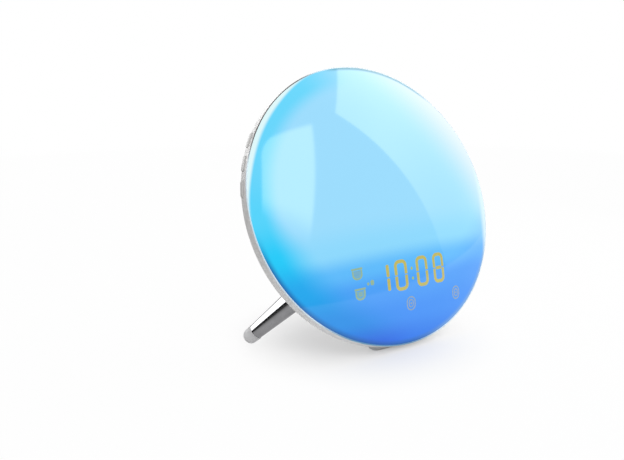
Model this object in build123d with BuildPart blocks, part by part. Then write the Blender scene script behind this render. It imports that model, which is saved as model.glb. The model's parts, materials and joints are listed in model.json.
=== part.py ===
from build123d import *
import os
from math import acos, atan2, cos, degrees, radians, sin, sqrt, tan

# Sunrise alarm clock: a round lamp that leans back on a rubber pad and two screwed-in metal legs.
# World frame: +X to the right of someone facing the clock, +Y to its back, +Z up, table at z = 0.
# Most pieces are drawn in the face frame: across (+X), up the face, and height in front of the rim.

os.makedirs("parts", exist_ok=True)

# ---------------------------------------------------------------- driving dimensions, millimetres
lean = 24.75  # the face leans back from upright, degrees
lamp_radius = 95.0  # the lit dome, at the rim
lamp_rise = 19.0  # the dome stands this far in front of the rim
lamp_wall = 2.2
skirt_depth = 1.8  # the dome's edge goes this far into the ring

lip_width = 0.7  # bright edge of the ring around the dome
lip_round = 0.28
band_depth = 7.5  # visible side of the ring
ring_wall = 2.2
shelf_thickness = 1.4
shelf_reach = 18.5  # how far the shelf reaches inwards under the ring's wall

rear_rise = 40.0  # the rear dome's depth behind the ring
rear_step = 0.4  # the housing's edge is this much smaller than the ring
rear_wall = 2.4
spigot_wall = 2.0
spigot_height = 2.5
bead_height = 0.6
bead_setback = 2.0  # the bead's middle, in front of the band's rear edge

fit_gap = 0.1  # glued or pressed pieces
slide_gap = 0.15  # a key in its slot
seat_gap = 0.3  # pieces that move past or stand off each other

ledge_drop = 41.0  # the ledge over the sockets, below the middle of the face
alcove_half_width = 66.0

cover_radius = 29.2
cover_lug_count = 3
cover_lug_angle = 24.0
cover_lug_slack = 6.0  # each lug's gap in the seat is this much wider, degrees
cover_lug_thickness = 1.8
cover_skirt_wall = 1.8
cover_turn = 30.0  # the battery cover turns this far to unlock, degrees
cover_skirt_setback = 3.7
cover_lug_reach = 3.0
coin_slot_length = 32.0
coin_slot_width = 2.2
coin_slot_depth = 1.3
coin_slot_up = 2.4  # the slot lies this far above the cover's middle
cover_dot_gap = 2.6  # from the slot's end to the middle of the dot
cover_dot_drop = 1.2  # and how far the dot lies under the slot's middle line
cover_dot_radius = 1.1
cover_bevel = 0.8  # the cover's edge and the housing's opening are bevelled by this much
coin_radius = 10.0
coin_thickness = 3.2
holder_rim = 1.6  # the battery holder's rim stands this far from the well's floor, over the cell
holder_wall = 2.5
holder_floor = 1.2
well_floor = 2.0
contact_width = 5.0
contact_thickness = 0.4

hole_radius = 1.1
hole_pitch = 4.6
hole_field_margin = 2.5  # the sound holes stop this far inside a speaker's ring
speaker_gap = 3.2  # between the battery well and a speaker's ring
speaker_up = 3.0
speaker_radius = 19.5
speaker_ring_wall = 3.5
speaker_depth = 17.0
magnet_radius = 11.5
magnet_thickness = 6.0
gasket_thickness = 1.0
speaker_flange = 1.2
basket_window_start = 3.3  # the openings in the basket's side, behind its flange
basket_window_height = 5.0
cone_margin = 1.6
cone_wall = 0.6
cone_cap_depth = 5.5
cone_neck_depth = 6.6
cone_neck_wall = 1.1
coil_radius = 3.7
coil_end_gap = 0.2
speaker_seat_height = 5.0

leg_across = 58.1  # where each leg's axis meets the rear dome
leg_down = 48.1
leg_splay = 42.3  # the leg's angle from straight back, degrees
leg_swing = 37.2  # and its turn below horizontal, degrees
leg_tip_radius = 4.85
leg_taper = 3.6  # the leg's side against its axis, degrees
leg_wall = 1.5
leg_socket_depth = 3.0
leg_collar_wall = 1.4
leg_collar_proud = 2.0
leg_boss_end = 2.0  # beyond the end of the stud
stud_radius = 3.0
stud_length = 13.0
insert_wall = 1.6
insert_length = 10.0
tip_plug_length = 8.0
leg_solid_length = 13.5  # the leg is hollow beyond this

pad_width = 46.0
pad_depth = 9.0
pad_setback = 1.6
pad_height = 2.2
pad_proud = 0.3

key_length = 10.8
key_margin = 0.55  # from a key to the shelf, and to the band's rear edge
key_proud = 0.8
key_pitch = 16.6
key_travel = 0.35
key_flange = 1.0
key_speaker_flange = 1.6
key_stem = 3.0
key_round = 0.45
left_row_angle = 157.5
left_key_names = ["key_sound", "key_menu", "key_light"]
right_row_angle = 345.0
right_key_names = ["key_minus", "key_plus"]
switch_length = 6.0
switch_height = 3.4
switch_depth = 3.4
plunger_radius = 1.2
plunger_length = 1.0
switch_setback = 10.0  # the key boards' outer face, inside the ring's wall
key_board_thickness = 1.2
key_board_height = 6.0
board_end_margin = 1.0
rail_size = 3.0

tray_wall = 1.0
tray_flange_gap = 3.7  # between the tray's flange and the dome's skirt
touch_board_setback = 3.0  # inside the tray's flange
led_board_thickness = 1.2
led_size = 3.5
led_height = 1.6
led_window = 4.8
led_ring_step = 18.0
led_ring_count = 3  # rings round the middle LED, with six more LEDs in each

board_thickness = 1.6
display_setback = 0.6  # the display board's front, in front of the tray's rear face
frame_lip = 2.0  # the display frame's edge that lies on the tray
display_margin = 3.4  # round the digits and signs
digit_height = 19.6
digit_width = 9.6
digit_stroke = 1.6
segment_gap = 0.3
digit_setback = 21.0  # the digits' middle, inside the edge of the tray's round floor
first_digit = -19.7
digit_pitch = 15.0
colon_room = 2.7
colon_step = 3.2
icon_across = -36.6
icon_rise = 0.8
icon_step = 6.3
icon_radius = 3.5
mark_across = -28.1
touch_across = [1.2, 43.6]
touch_drop = 18.65  # below the digits' middle
touch_radius = 4.2

main_board_width = 62.0
main_board_height = 74.0
main_board_gap = 2.6  # between the board's lower edge and the ledge's wall
main_board_depth = 24.0  # its rear face, behind the rim
post_radius = 3.2
board_post_across = 27.0
board_post_inset = 5.0  # from the board's upper and lower edges
processor = (0.0, 2.0, 12.0, 1.4)  # across, up, side, height
amplifier = (-18.0, -12.0, 7.0, 1.2)
clock_chip = (-17.0, 12.0, 6.0, 1.6)
power_coil = (17.0, -8.0, 9.0, 4.0)
capacitors = [(20.0, 12.0), (20.0, 21.0), (-20.0, -23.0)]
capacitor_radius = 3.15
capacitor_height = 7.0
ribbon_width = 12.0
ribbon_thickness = 0.3
ribbon_up = 22.0
plug_width = 15.0
plug_thickness = 4.0
plug_height = 2.2

usb_across = 19.0
usb_width = 13.2
usb_height = 5.7
usb_wall = 0.4
usb_length = 13.8
tongue_thickness = 1.84
tongue_headroom = 0.7  # between the tongue and the socket's upper wall
tongue_margin = 0.4
tongue_inset = 1.0  # the tongue and the power pin end this far inside the mouths
usb_base_depth = 4.0
jack_across = -11.0
jack_width = 9.0
jack_height = 8.0
jack_nose_radius = 4.1
jack_bore_radius = 2.85
jack_pin_radius = 1.05
jack_pin_round = 0.6
jack_bore_depth = 9.5
port_board_drop = 10.0  # the port board's upper face, below the ledge
socket_room = 1.0  # between the sockets' inner ends and the display board
port_board_left = -20.0
port_board_right = 30.0

screw_radius = 1.25
screw_head_radius = 2.4
screw_head_height = 1.6
tray_screw_setback = 7.5  # outside the shelf's inner edge
tray_screw_start = 10.0
tray_screw_count = 6
screw_length = 7.0
housing_screw_angle = 26.5  # to each side of straight down, degrees
housing_screw_length = 12.0
ring_post_radius = 3.4

# ------------------------------------------------------------------------------ the face frame
ring_radius = lamp_radius + lip_width
rim_low_back = -ring_radius * sin(radians(lean)) + band_depth * cos(radians(lean))
rim_low_down = ring_radius * cos(radians(lean)) + band_depth * sin(radians(lean))
face_up = Vector(0, sin(radians(lean)), cos(radians(lean)))
face_out = Vector(0, -cos(radians(lean)), sin(radians(lean)))
sideways = Vector(1, 0, 0)
face_origin = Vector(0, -rim_low_back - pad_setback - pad_depth / 2, rim_low_down + pad_proud)
face_axis = Axis(face_origin, face_out)
turning_plane = Plane(origin=face_origin, x_dir=sideways, z_dir=face_up * -1)


def face_point(across, up, height):
    return face_origin + sideways * across + face_up * up + face_out * height


def face_plane(height=0.0, across=0.0, up=0.0):
    return Plane(origin=face_point(across, up, height), x_dir=sideways, z_dir=face_out)


def save(piece, name):
    piece.part.label = name
    export_step(piece.part, f"parts/{name}.step")


# The front of the lamp is part of a ball, and so is the rear housing.
lamp_ball = (lamp_radius**2 + lamp_rise**2) / (2 * lamp_rise)
lamp_ball_centre = lamp_rise - lamp_ball
rear_edge_radius = ring_radius - rear_step
rear_ball = (rear_edge_radius**2 + rear_rise**2) / (2 * rear_rise)
rear_ball_centre = rear_ball - rear_rise - band_depth


def lamp_height(radius, inset=0.0):
    return lamp_ball_centre + sqrt((lamp_ball - inset) ** 2 - radius**2)


def rear_height(radius, inset=0.0):
    return rear_ball_centre - sqrt((rear_ball - inset) ** 2 - radius**2)


shelf_front = -skirt_depth
shelf_back = shelf_front - shelf_thickness
ring_inner = ring_radius - ring_wall
shelf_inner = ring_inner - shelf_reach
skirt_inner = lamp_radius - fit_gap - lamp_wall
tray_flange_radius = skirt_inner - tray_flange_gap
tray_step = shelf_inner - seat_gap
tray_floor_radius = tray_step - 2 * tray_wall
tray_back = shelf_back
tray_front = tray_back + tray_wall
flange_front = shelf_front + tray_wall
display_back = tray_back + display_setback

# The sockets lie between the alcove's wall and the back of the display board.
alcove_floor = display_back - board_thickness - socket_room - usb_length
alcove_wall_front = alcove_floor + rear_wall
connector_front = alcove_floor + usb_length
port_board_up = -ledge_drop - port_board_drop
main_board_bottom = -ledge_drop + rear_wall + main_board_gap
main_board_top = main_board_bottom + main_board_height

# The display sits near the bottom edge of the tray's round floor.
digit_level = digit_setback - tray_floor_radius
display_top = digit_level + digit_height / 2 + display_margin
display_bottom = digit_level - digit_height / 2 - display_margin
display_left = icon_across - icon_radius - display_margin
display_right = first_digit + 3 * digit_pitch + colon_room + digit_width / 2 + display_margin
digit_centres = [
    first_digit + index * digit_pitch + (colon_room if index > 1 else 0) for index in range(4)
]
colon_across = (digit_centres[1] + digit_centres[2]) / 2
icon_levels = [digit_level + icon_rise + icon_step, digit_level + icon_rise - icon_step]
touch_level = digit_level - touch_drop

key_centre = (band_depth - shelf_back) / 2  # the keys' middle, behind the rim
key_height = band_depth + shelf_back - 2 * key_margin
switch_plane = ring_inner - switch_setback

# ------------------------------------------------------------------------------ front diffuser
# One moulding of opal plastic, with a short skirt that sits in the ring.
with BuildPart() as front_diffuser:
    with BuildSketch(turning_plane):
        with BuildLine():
            edge_radius = lamp_radius - fit_gap
            outer_middle = (lamp_radius / 2, lamp_height(lamp_radius / 2))
            inner_middle = (lamp_radius / 2, lamp_height(lamp_radius / 2, lamp_wall))
            Line((0, lamp_rise - lamp_wall), (0, lamp_rise))
            ThreePointArc((0, lamp_rise), outer_middle, (edge_radius, lamp_height(edge_radius)))
            Line((edge_radius, lamp_height(edge_radius)), (edge_radius, shelf_front))
            Line((edge_radius, shelf_front), (skirt_inner, shelf_front))
            Line((skirt_inner, shelf_front), (skirt_inner, lamp_height(skirt_inner, lamp_wall)))
            ThreePointArc(
                (skirt_inner, lamp_height(skirt_inner, lamp_wall)),
                inner_middle,
                (0, lamp_rise - lamp_wall),
            )
        make_face()
    revolve(axis=face_axis)
save(front_diffuser, "front_diffuser")


# ------------------------------------------------------------------------------ rows of side keys
# Each row is a flat board, so its keys all travel along the row's own middle direction.
def row_frame(angle):
    outward = sideways * cos(radians(angle)) + face_up * sin(radians(angle))
    along = sideways * -sin(radians(angle)) + face_up * cos(radians(angle))
    return outward, along


def row_plane(angle, distance, offset=0.0):
    outward, along = row_frame(angle)
    origin = face_origin + outward * distance + along * offset - face_out * key_centre
    return Plane(origin=origin, x_dir=along, z_dir=outward)


def key_offsets(names):
    return [(index - (len(names) - 1) / 2) * key_pitch for index in range(len(names))]


def row_half_length(names):
    return (len(names) - 1) / 2 * key_pitch + key_length / 2 + key_flange


key_rows = [(left_row_angle, left_key_names), (right_row_angle, right_key_names)]

# ------------------------------------------------------------------------------ trim ring
# The pale band: a lip and shelf hold the lamp dome, posts behind the shelf take the screws.
tray_screw_circle = shelf_inner + tray_screw_setback
housing_screw_circle = shelf_inner + ring_post_radius
housing_screw_up = -housing_screw_circle * cos(radians(housing_screw_angle))
housing_screws = [
    (side * housing_screw_circle * sin(radians(housing_screw_angle)), housing_screw_up)
    for side in (-1, 1)
]
tray_screw_angles = [
    tray_screw_start + index * 360 / tray_screw_count for index in range(tray_screw_count)
]
tray_screw_points = [
    (tray_screw_circle * cos(radians(a)), tray_screw_circle * sin(radians(a)))
    for a in tray_screw_angles
]
bead_level = -band_depth + bead_setback
groove_half = bead_height / 2 + seat_gap
with BuildPart() as trim_ring:
    with BuildSketch(turning_plane):
        with BuildLine():
            Polyline(
                (lamp_radius, 0),
                (ring_radius, 0),
                (ring_radius, -band_depth),
                (ring_inner, -band_depth),
                (ring_inner, shelf_back),
                (shelf_inner, shelf_back),
                (shelf_inner, shelf_front),
                (lamp_radius, shelf_front),
                close=True,
            )
        make_face()
    revolve(axis=face_axis)
    rims = trim_ring.edges().filter_by(GeomType.CIRCLE).sort_by(lambda edge: -edge.radius)
    fillet(rims[0:2], radius=lip_round)
    with BuildSketch(turning_plane):
        with BuildLine():
            Polyline(
                (ring_inner - fit_gap, bead_level - groove_half),
                (ring_inner + bead_height, bead_level - groove_half),
                (ring_inner + bead_height, bead_level + groove_half),
                (ring_inner - fit_gap, bead_level + groove_half),
                close=True,
            )
        make_face()
    revolve(axis=face_axis, mode=Mode.SUBTRACT)
    with BuildSketch(face_plane(shelf_back)):
        with Locations(tray_screw_points):
            Circle(ring_post_radius)
    extrude(amount=-(screw_length - shelf_thickness))
    with BuildSketch(face_plane(shelf_back)):
        with Locations(housing_screws):
            Circle(ring_post_radius)
    extrude(amount=alcove_wall_front + seat_gap - shelf_back)
    with BuildSketch(face_plane(shelf_front)):
        with Locations(tray_screw_points):
            Circle(screw_radius)
    extrude(amount=-screw_length, mode=Mode.SUBTRACT)
    with BuildSketch(face_plane(alcove_wall_front + seat_gap)):
        with Locations(housing_screws):
            Circle(screw_radius)
    extrude(amount=housing_screw_length - rear_wall, mode=Mode.SUBTRACT)
    for angle, names in key_rows:
        rail_offset = row_half_length(names) + board_end_margin
        rail_middle = switch_plane - key_board_thickness / 2
        for side in (-1, 1):
            plane = row_plane(angle, rail_middle - rail_size / 2, side * rail_offset)
            with BuildSketch(plane):
                with Locations((0, key_centre + shelf_back - key_board_height / 2)):
                    Rectangle(rail_size, key_board_height)
            extrude(amount=rail_size)
            slot_plane = row_plane(
                angle,
                rail_middle - key_board_thickness / 2 - fit_gap,
                side * (rail_offset - rail_size / 2),
            )
            with BuildSketch(slot_plane):
                with Locations((0, key_centre + shelf_back - key_board_height / 2)):
                    Rectangle(rail_size + fit_gap, key_board_height)
            extrude(amount=key_board_thickness + 2 * fit_gap, mode=Mode.SUBTRACT)
        for offset in key_offsets(names):
            with BuildSketch(row_plane(angle, switch_plane, offset)):
                SlotOverall(key_length + 2 * slide_gap, key_height + 2 * slide_gap)
            extrude(amount=ring_radius - switch_plane + ring_wall, mode=Mode.SUBTRACT)
save(trim_ring, "trim_ring")

# ------------------------------------------------------------------------------ legs: where they go
leg_out = (
    sideways * (sin(radians(leg_splay)) * cos(radians(leg_swing)))
    - face_up * (sin(radians(leg_splay)) * sin(radians(leg_swing)))
    - face_out * cos(radians(leg_splay))
)
leg_root = face_point(leg_across, -leg_down, rear_height(sqrt(leg_across**2 + leg_down**2)))
leg_seat = leg_root + leg_out * (leg_collar_proud - leg_socket_depth)
# The tip is a ball that touches the table, so its centre's height sets the leg's length.
leg_length = (leg_seat.Z - leg_tip_radius) / -leg_out.Z
leg_top_radius = leg_tip_radius + leg_length * tan(radians(leg_taper))
leg_socket_radius = leg_top_radius + seat_gap
leg_collar_radius = leg_socket_radius + leg_collar_wall
insert_radius = stud_radius + insert_wall


def leg_plane(distance, side=1):
    point = leg_seat + leg_out * distance
    origin = Vector(point.X * side, point.Y, point.Z)
    direction = Vector(leg_out.X * side, leg_out.Y, leg_out.Z)
    return Plane(origin=origin, z_dir=direction)


# ------------------------------------------------------------------------------ rear housing
# The solid form of the rear dome, which trims everything that is built inside it.
with BuildPart() as dome_form:
    with BuildSketch(turning_plane):
        with BuildLine():
            half = rear_edge_radius / 2
            Line((0, -band_depth), (rear_edge_radius, -band_depth))
            ThreePointArc(
                (rear_edge_radius, -band_depth),
                (half, rear_height(half)),
                (0, rear_height(0)),
            )
            Line((0, rear_height(0)), (0, -band_depth))
        make_face()
    revolve(axis=face_axis)

alcove_bottom = -ring_radius - rear_wall
dome_reach = rear_rise * 2


def alcove_block(grow):
    width = 2 * (alcove_half_width + grow)
    top = -ledge_drop + grow
    with BuildPart() as block:
        with BuildSketch(face_plane(alcove_floor + grow)):
            with Locations((0, (top + alcove_bottom) / 2)):
                Rectangle(width, top - alcove_bottom)
        extrude(amount=-dome_reach)
    return block.part


board_posts = [
    (across, up)
    for across in (board_post_across, -board_post_across)
    for up in (main_board_top - board_post_inset, main_board_bottom + board_post_inset)
]

# Walls round the socket alcove, the battery well, the board posts and the pad's backing.
cover_skirt_radius = cover_radius - cover_skirt_setback
cover_gap_radius = cover_radius + seat_gap
cover_edge_inner = rear_height(cover_radius) + rear_wall
seat_back = cover_edge_inner + seat_gap
seat_front = seat_back + rear_wall
lug_back = seat_front + seat_gap
lug_front = lug_back + cover_lug_thickness
well_floor_back = lug_front + coin_thickness + holder_rim + seat_gap
well_floor_front = well_floor_back + well_floor
well_outer = cover_gap_radius + 2 * rear_wall
with BuildPart() as inner_walls:
    add(alcove_block(rear_wall))
    with BuildSketch(face_plane(well_floor_front)):
        Circle(well_outer)
    extrude(amount=-dome_reach)
    with BuildSketch(face_plane(-main_board_depth)):
        with Locations(board_posts):
            Circle(post_radius)
    extrude(amount=-dome_reach)
    with BuildSketch(Plane.XY.offset(pad_height)):
        with Locations((0, 0)):
            Rectangle(pad_width + 2 * rear_wall, pad_depth + 2 * rear_wall)
    extrude(amount=rear_wall)
    add(dome_form.part, mode=Mode.INTERSECT)

# Each speaker faces out along the dome's own radius, on a ring that stands inside the shell.
speaker_across = well_outer + speaker_gap + speaker_radius
speaker_off_axis = sqrt(speaker_across**2 + speaker_up**2)
speaker_turn = atan2(speaker_up, speaker_across)
speaker_lean = degrees(acos((rear_ball_centre - rear_height(speaker_off_axis)) / rear_ball))
speaker_hole = speaker_radius - speaker_ring_wall
hole_field_radius = speaker_hole - hole_field_margin


def speaker_plane(distance, side=1):
    """A plane across the speaker's axis, this far from the middle of the dome's ball."""
    outward = (
        sideways * (side * sin(radians(speaker_lean)) * cos(speaker_turn))
        + face_up * (sin(radians(speaker_lean)) * sin(speaker_turn))
        - face_out * cos(radians(speaker_lean))
    )
    middle = face_point(0, 0, rear_ball_centre)
    return Plane(origin=middle + outward * distance, z_dir=outward)


speaker_seat = sqrt((rear_ball - rear_wall) ** 2 - speaker_radius**2) - speaker_seat_height
with BuildPart() as speaker_rings:
    for side in (-1, 1):
        with BuildSketch(speaker_plane(speaker_seat, side)):
            Circle(speaker_radius)
            Circle(speaker_hole, mode=Mode.SUBTRACT)
        extrude(amount=speaker_seat_height * 2)
    add(dome_form.part, mode=Mode.INTERSECT)


def hole_points(across, up, reach):
    """The points of one staggered field, centred on the face, that lie inside a circle."""
    row_step = hole_pitch * sqrt(3) / 2
    rows = int((sqrt(across**2 + up**2) + reach) / row_step) + 1
    points = []
    for row in range(-rows, rows + 1):
        for column in range(-rows, rows + 1):
            x = (column + (row % 2) / 2) * hole_pitch
            y = row * row_step
            if sqrt((x - across) ** 2 + (y - up) ** 2) <= reach:
                points.append((x, y))
    return points


def sector(plane, radius, middle, width, amount):
    """A pie slice, this many degrees wide about its middle, as a solid."""
    reach = radius * 2
    with BuildPart() as slice_form:
        with BuildSketch(plane):
            with BuildLine():
                start = radians(middle - width / 2)
                end = radians(middle + width / 2)
                Polyline(
                    (0, 0),
                    (reach * cos(start), reach * sin(start)),
                    (reach * cos(end), reach * sin(end)),
                    close=True,
                )
            make_face()
        extrude(amount=amount)
        with BuildSketch(plane):
            Circle(radius)
        extrude(amount=amount, mode=Mode.INTERSECT)
    return slice_form.part


lug_angles = [90.0 + index * 360 / cover_lug_count for index in range(cover_lug_count)]
gap_angles = [angle - cover_turn for angle in lug_angles]
lug_radius = cover_skirt_radius + cover_lug_reach
seat_inner = cover_skirt_radius + 2 * seat_gap
lug_gap_angle = cover_lug_angle + cover_lug_slack
gap_start = seat_back - seat_gap
gap_length = seat_front - gap_start + seat_gap
lug_gaps = [
    sector(face_plane(gap_start), lug_radius + seat_gap, angle, lug_gap_angle, gap_length)
    for angle in gap_angles
]
usb_up = port_board_up + usb_height / 2
jack_up = port_board_up + jack_height / 2

with BuildPart() as rear_housing:
    with BuildSketch(turning_plane):
        with BuildLine():
            inner_edge = sqrt((rear_ball - rear_wall) ** 2 - (rear_ball_centre + band_depth) ** 2)
            half = rear_edge_radius / 2
            Line((inner_edge, -band_depth), (rear_edge_radius, -band_depth))
            ThreePointArc(
                (rear_edge_radius, -band_depth),
                (half, rear_height(half)),
                (0, rear_height(0)),
            )
            Line((0, rear_height(0)), (0, rear_height(0, rear_wall)))
            ThreePointArc(
                (0, rear_height(0, rear_wall)),
                (half, rear_height(half, rear_wall)),
                (inner_edge, -band_depth),
            )
        make_face()
    revolve(axis=face_axis)
    # The spigot snaps into the ring's groove.
    spigot_outer = ring_inner - slide_gap
    spigot_top = -band_depth + spigot_height
    with BuildSketch(turning_plane):
        with BuildLine():
            Polyline(
                (spigot_outer - spigot_wall, -band_depth - rear_wall / 2),
                (spigot_outer, -band_depth - rear_wall / 2),
                (spigot_outer, bead_level - bead_height / 2),
                (spigot_outer + bead_height, bead_level - bead_height / 4),
                (spigot_outer + bead_height, bead_level + bead_height / 4),
                (spigot_outer, spigot_top),
                (spigot_outer - spigot_wall, spigot_top),
                close=True,
            )
        make_face()
    revolve(axis=face_axis)
    for angle, names in key_rows:
        with BuildSketch(row_plane(angle, switch_plane)):
            with Locations((0, key_centre - band_depth + spigot_height)):
                Rectangle(2 * row_half_length(names) + 4 * key_flange, 2 * spigot_height)
        extrude(amount=ring_radius - switch_plane, mode=Mode.SUBTRACT)
    add(inner_walls.part)
    add(speaker_rings.part)
    add(alcove_block(0.0), mode=Mode.SUBTRACT)
    # The battery well: a stepped opening, a bayonet seat and a floor.
    with BuildSketch(face_plane(seat_back)):
        Circle(cover_gap_radius)
    extrude(amount=-dome_reach, mode=Mode.SUBTRACT)
    with BuildSketch(turning_plane):
        with BuildLine():
            bevel_radius = cover_gap_radius + cover_bevel
            bevel_height = rear_height(bevel_radius)
            Polyline(
                (cover_radius, bevel_height + cover_bevel + seat_gap),
                (bevel_radius, bevel_height),
                (bevel_radius, bevel_height - cover_bevel),
                (cover_radius, bevel_height - cover_bevel),
                close=True,
            )
        make_face()
    revolve(axis=face_axis, mode=Mode.SUBTRACT)
    with BuildSketch(face_plane(seat_front)):
        Circle(seat_inner)
    extrude(amount=-dome_reach, mode=Mode.SUBTRACT)
    with BuildSketch(face_plane(well_floor_back)):
        Circle(well_outer - rear_wall)
    extrude(amount=seat_front - well_floor_back, mode=Mode.SUBTRACT)
    for lug_gap in lug_gaps:
        add(lug_gap, mode=Mode.SUBTRACT)
    # Leg bosses, with a collar outside, a socket for the leg's top and a bore for the insert.
    for side in (-1, 1):
        with BuildSketch(leg_plane(leg_socket_depth, side)):
            Circle(leg_collar_radius)
        extrude(amount=-leg_socket_depth - stud_length - leg_boss_end)
        with BuildSketch(leg_plane(leg_socket_depth, side)):
            Circle(leg_socket_radius)
        extrude(amount=-leg_socket_depth, mode=Mode.SUBTRACT)
        with BuildSketch(leg_plane(0, side)):
            Circle(insert_radius)
        extrude(amount=-stud_length - seat_gap, mode=Mode.SUBTRACT)
    # Sockets' openings in the alcove wall, and its two counterbored screw holes.
    with BuildSketch(face_plane(alcove_wall_front)):
        with Locations((usb_across, usb_up)):
            Rectangle(usb_width + 2 * slide_gap, usb_height + 2 * slide_gap)
        with Locations((jack_across, jack_up)):
            Circle(jack_nose_radius + slide_gap)
        with Locations(housing_screws):
            Circle(screw_radius + slide_gap)
    extrude(amount=-rear_wall, mode=Mode.SUBTRACT)
    with BuildSketch(face_plane(alcove_floor + screw_head_height)):
        with Locations(housing_screws):
            Circle(screw_head_radius + seat_gap)
    extrude(amount=-screw_head_height, mode=Mode.SUBTRACT)
    # Pilot holes for the board screws.
    with BuildSketch(face_plane(-main_board_depth)):
        with Locations(board_posts):
            Circle(screw_radius)
    extrude(amount=-screw_length, mode=Mode.SUBTRACT)
    # Sound holes over each speaker.
    for side in (-1, 1):
        with BuildSketch(face_plane(rear_height(speaker_off_axis + hole_field_radius) + rear_wall)):
            with Locations(hole_points(side * speaker_across, speaker_up, hole_field_radius)):
                Circle(hole_radius)
        extrude(amount=-dome_reach, mode=Mode.SUBTRACT)
    # The pocket for the rubber pad.
    with BuildSketch(Plane.XY.offset(-pad_height)):
        RectangleRounded(pad_width + 2 * fit_gap, pad_depth + 2 * fit_gap, pad_depth / 3)
    extrude(amount=2 * pad_height, mode=Mode.SUBTRACT)
save(rear_housing, "rear_housing")

# ------------------------------------------------------------------------------ rest pad
with BuildPart() as rest_pad:
    with BuildSketch(Plane.XY):
        RectangleRounded(pad_width, pad_depth, pad_depth / 3)
    extrude(amount=pad_height)
save(rest_pad, "rest_pad")

# ------------------------------------------------------------------------------ lamp: tray and LEDs
with BuildPart() as lamp_cavity:
    with BuildSketch(turning_plane):
        with BuildLine():
            cavity_middle = lamp_height(lamp_radius / 2, lamp_wall + seat_gap)
            cavity_edge = lamp_height(tray_flange_radius, lamp_wall + seat_gap)
            Line((0, -band_depth), (0, lamp_rise - lamp_wall - seat_gap))
            ThreePointArc(
                (0, lamp_rise - lamp_wall - seat_gap),
                (lamp_radius / 2, cavity_middle),
                (tray_flange_radius, cavity_edge),
            )
            Line((tray_flange_radius, cavity_edge), (tray_flange_radius, -band_depth))
            Line((tray_flange_radius, -band_depth), (0, -band_depth))
        make_face()
    revolve(axis=face_axis)

display_width = display_right - display_left
display_height = display_top - display_bottom
display_middle = ((display_left + display_right) / 2, (display_top + display_bottom) / 2)


def clear_of_display(x, y, margin):
    beside = x < display_left - margin or x > display_right + margin
    above = y > display_top + margin
    return beside or above


led_points = []
for ring in range(led_ring_count + 1):
    count = max(6 * ring, 1)
    for index in range(count):
        turn = radians(90 + index * 360 / count)
        point = (ring * led_ring_step * cos(turn), ring * led_ring_step * sin(turn))
        if clear_of_display(*point, margin=led_window):
            led_points.append(point)


def display_outline(grow):
    """The display's outline in the current sketch: a rectangle trimmed by the tray's round floor."""
    with Locations(display_middle):
        Rectangle(display_width + 2 * grow, display_height + 2 * grow)
    with Locations((0, 0)):
        Circle(tray_floor_radius - seat_gap + grow, mode=Mode.INTERSECT)


with BuildPart() as reflector_tray:
    with BuildSketch(turning_plane):
        with BuildLine():
            Polyline(
                (0, tray_back),
                (tray_step, tray_back),
                (tray_step, shelf_front),
                (tray_flange_radius, shelf_front),
                (tray_flange_radius, flange_front),
                (tray_step - tray_wall, flange_front),
                (tray_floor_radius, tray_front),
                (0, tray_front),
                close=True,
            )
        make_face()
    revolve(axis=face_axis)
    with BuildSketch(face_plane(tray_back)):
        with Locations(led_points):
            Rectangle(led_window, led_window)
        with Locations(tray_screw_points):
            Circle(screw_radius + slide_gap)
    extrude(amount=lamp_rise, mode=Mode.SUBTRACT)
    with BuildSketch(face_plane(tray_back)):
        display_outline(seat_gap)
    extrude(amount=lamp_rise, mode=Mode.SUBTRACT)
save(reflector_tray, "reflector_tray")

led_board_radius = tray_step - tray_wall
led_board_front = tray_back
with BuildPart() as led_board:
    with BuildSketch(face_plane(led_board_front)):
        Circle(led_board_radius)
        with Locations((0, display_top + seat_gap - led_board_radius)):
            Rectangle(2 * led_board_radius, 2 * led_board_radius, mode=Mode.SUBTRACT)
    extrude(amount=-led_board_thickness)
save(led_board, "led_board")

with BuildPart() as led_emitters:
    with BuildSketch(face_plane(led_board_front)):
        with Locations(led_points):
            Rectangle(led_size, led_size)
    extrude(amount=led_height)
save(led_emitters, "led_emitters")

# ------------------------------------------------------------------------------ clock display
# A black light box that stops light leaking between the digits' segments, clear plastic segments
# that carry the light to the lamp dome, and the board that lights them.
bar_length = digit_width - digit_stroke - 2 * segment_gap
post_length = (digit_height - digit_stroke) / 2 - 2 * segment_gap
half_width = (digit_width - digit_stroke) / 2
half_height = (digit_height - digit_stroke) / 2
segment_places = [(0, level, 0) for level in (-half_height, 0, half_height)]
for column in (-half_width, half_width):
    for level in (-half_height / 2, half_height / 2):
        segment_places.append((column, level, 90))


def segment(length, stroke):
    """A bar with pointed ends, in the current sketch."""
    point = stroke / 2
    Polygon(
        (-length / 2, 0),
        (-length / 2 + point, -point),
        (length / 2 - point, -point),
        (length / 2, 0),
        (length / 2 - point, point),
        (-length / 2 + point, point),
        align=None,
    )


def segment_sketch(plane, shrink):
    """All the digits' segments and the colon, drawn smaller by the gap round each one."""
    with BuildSketch(plane) as sketch:
        for centre in digit_centres:
            for across, level, turn in segment_places:
                length = bar_length if turn == 0 else post_length
                with Locations(Location((centre + across, digit_level + level), turn)):
                    segment(length - 2 * shrink, digit_stroke - 2 * shrink)
        for level in (-colon_step, colon_step):
            with Locations((colon_across, digit_level + level)):
                Rectangle(digit_stroke - 2 * shrink, digit_stroke - 2 * shrink)
    return sketch.sketch


def icon_sketch(plane, shrink):
    with BuildSketch(plane) as sketch:
        for level in icon_levels:
            with Locations((icon_across, level)):
                Circle(icon_radius - shrink)
        with Locations((mark_across, digit_level)):
            Rectangle(2 * digit_stroke - 2 * shrink, digit_stroke - 2 * shrink)
    return sketch.sketch


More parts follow.
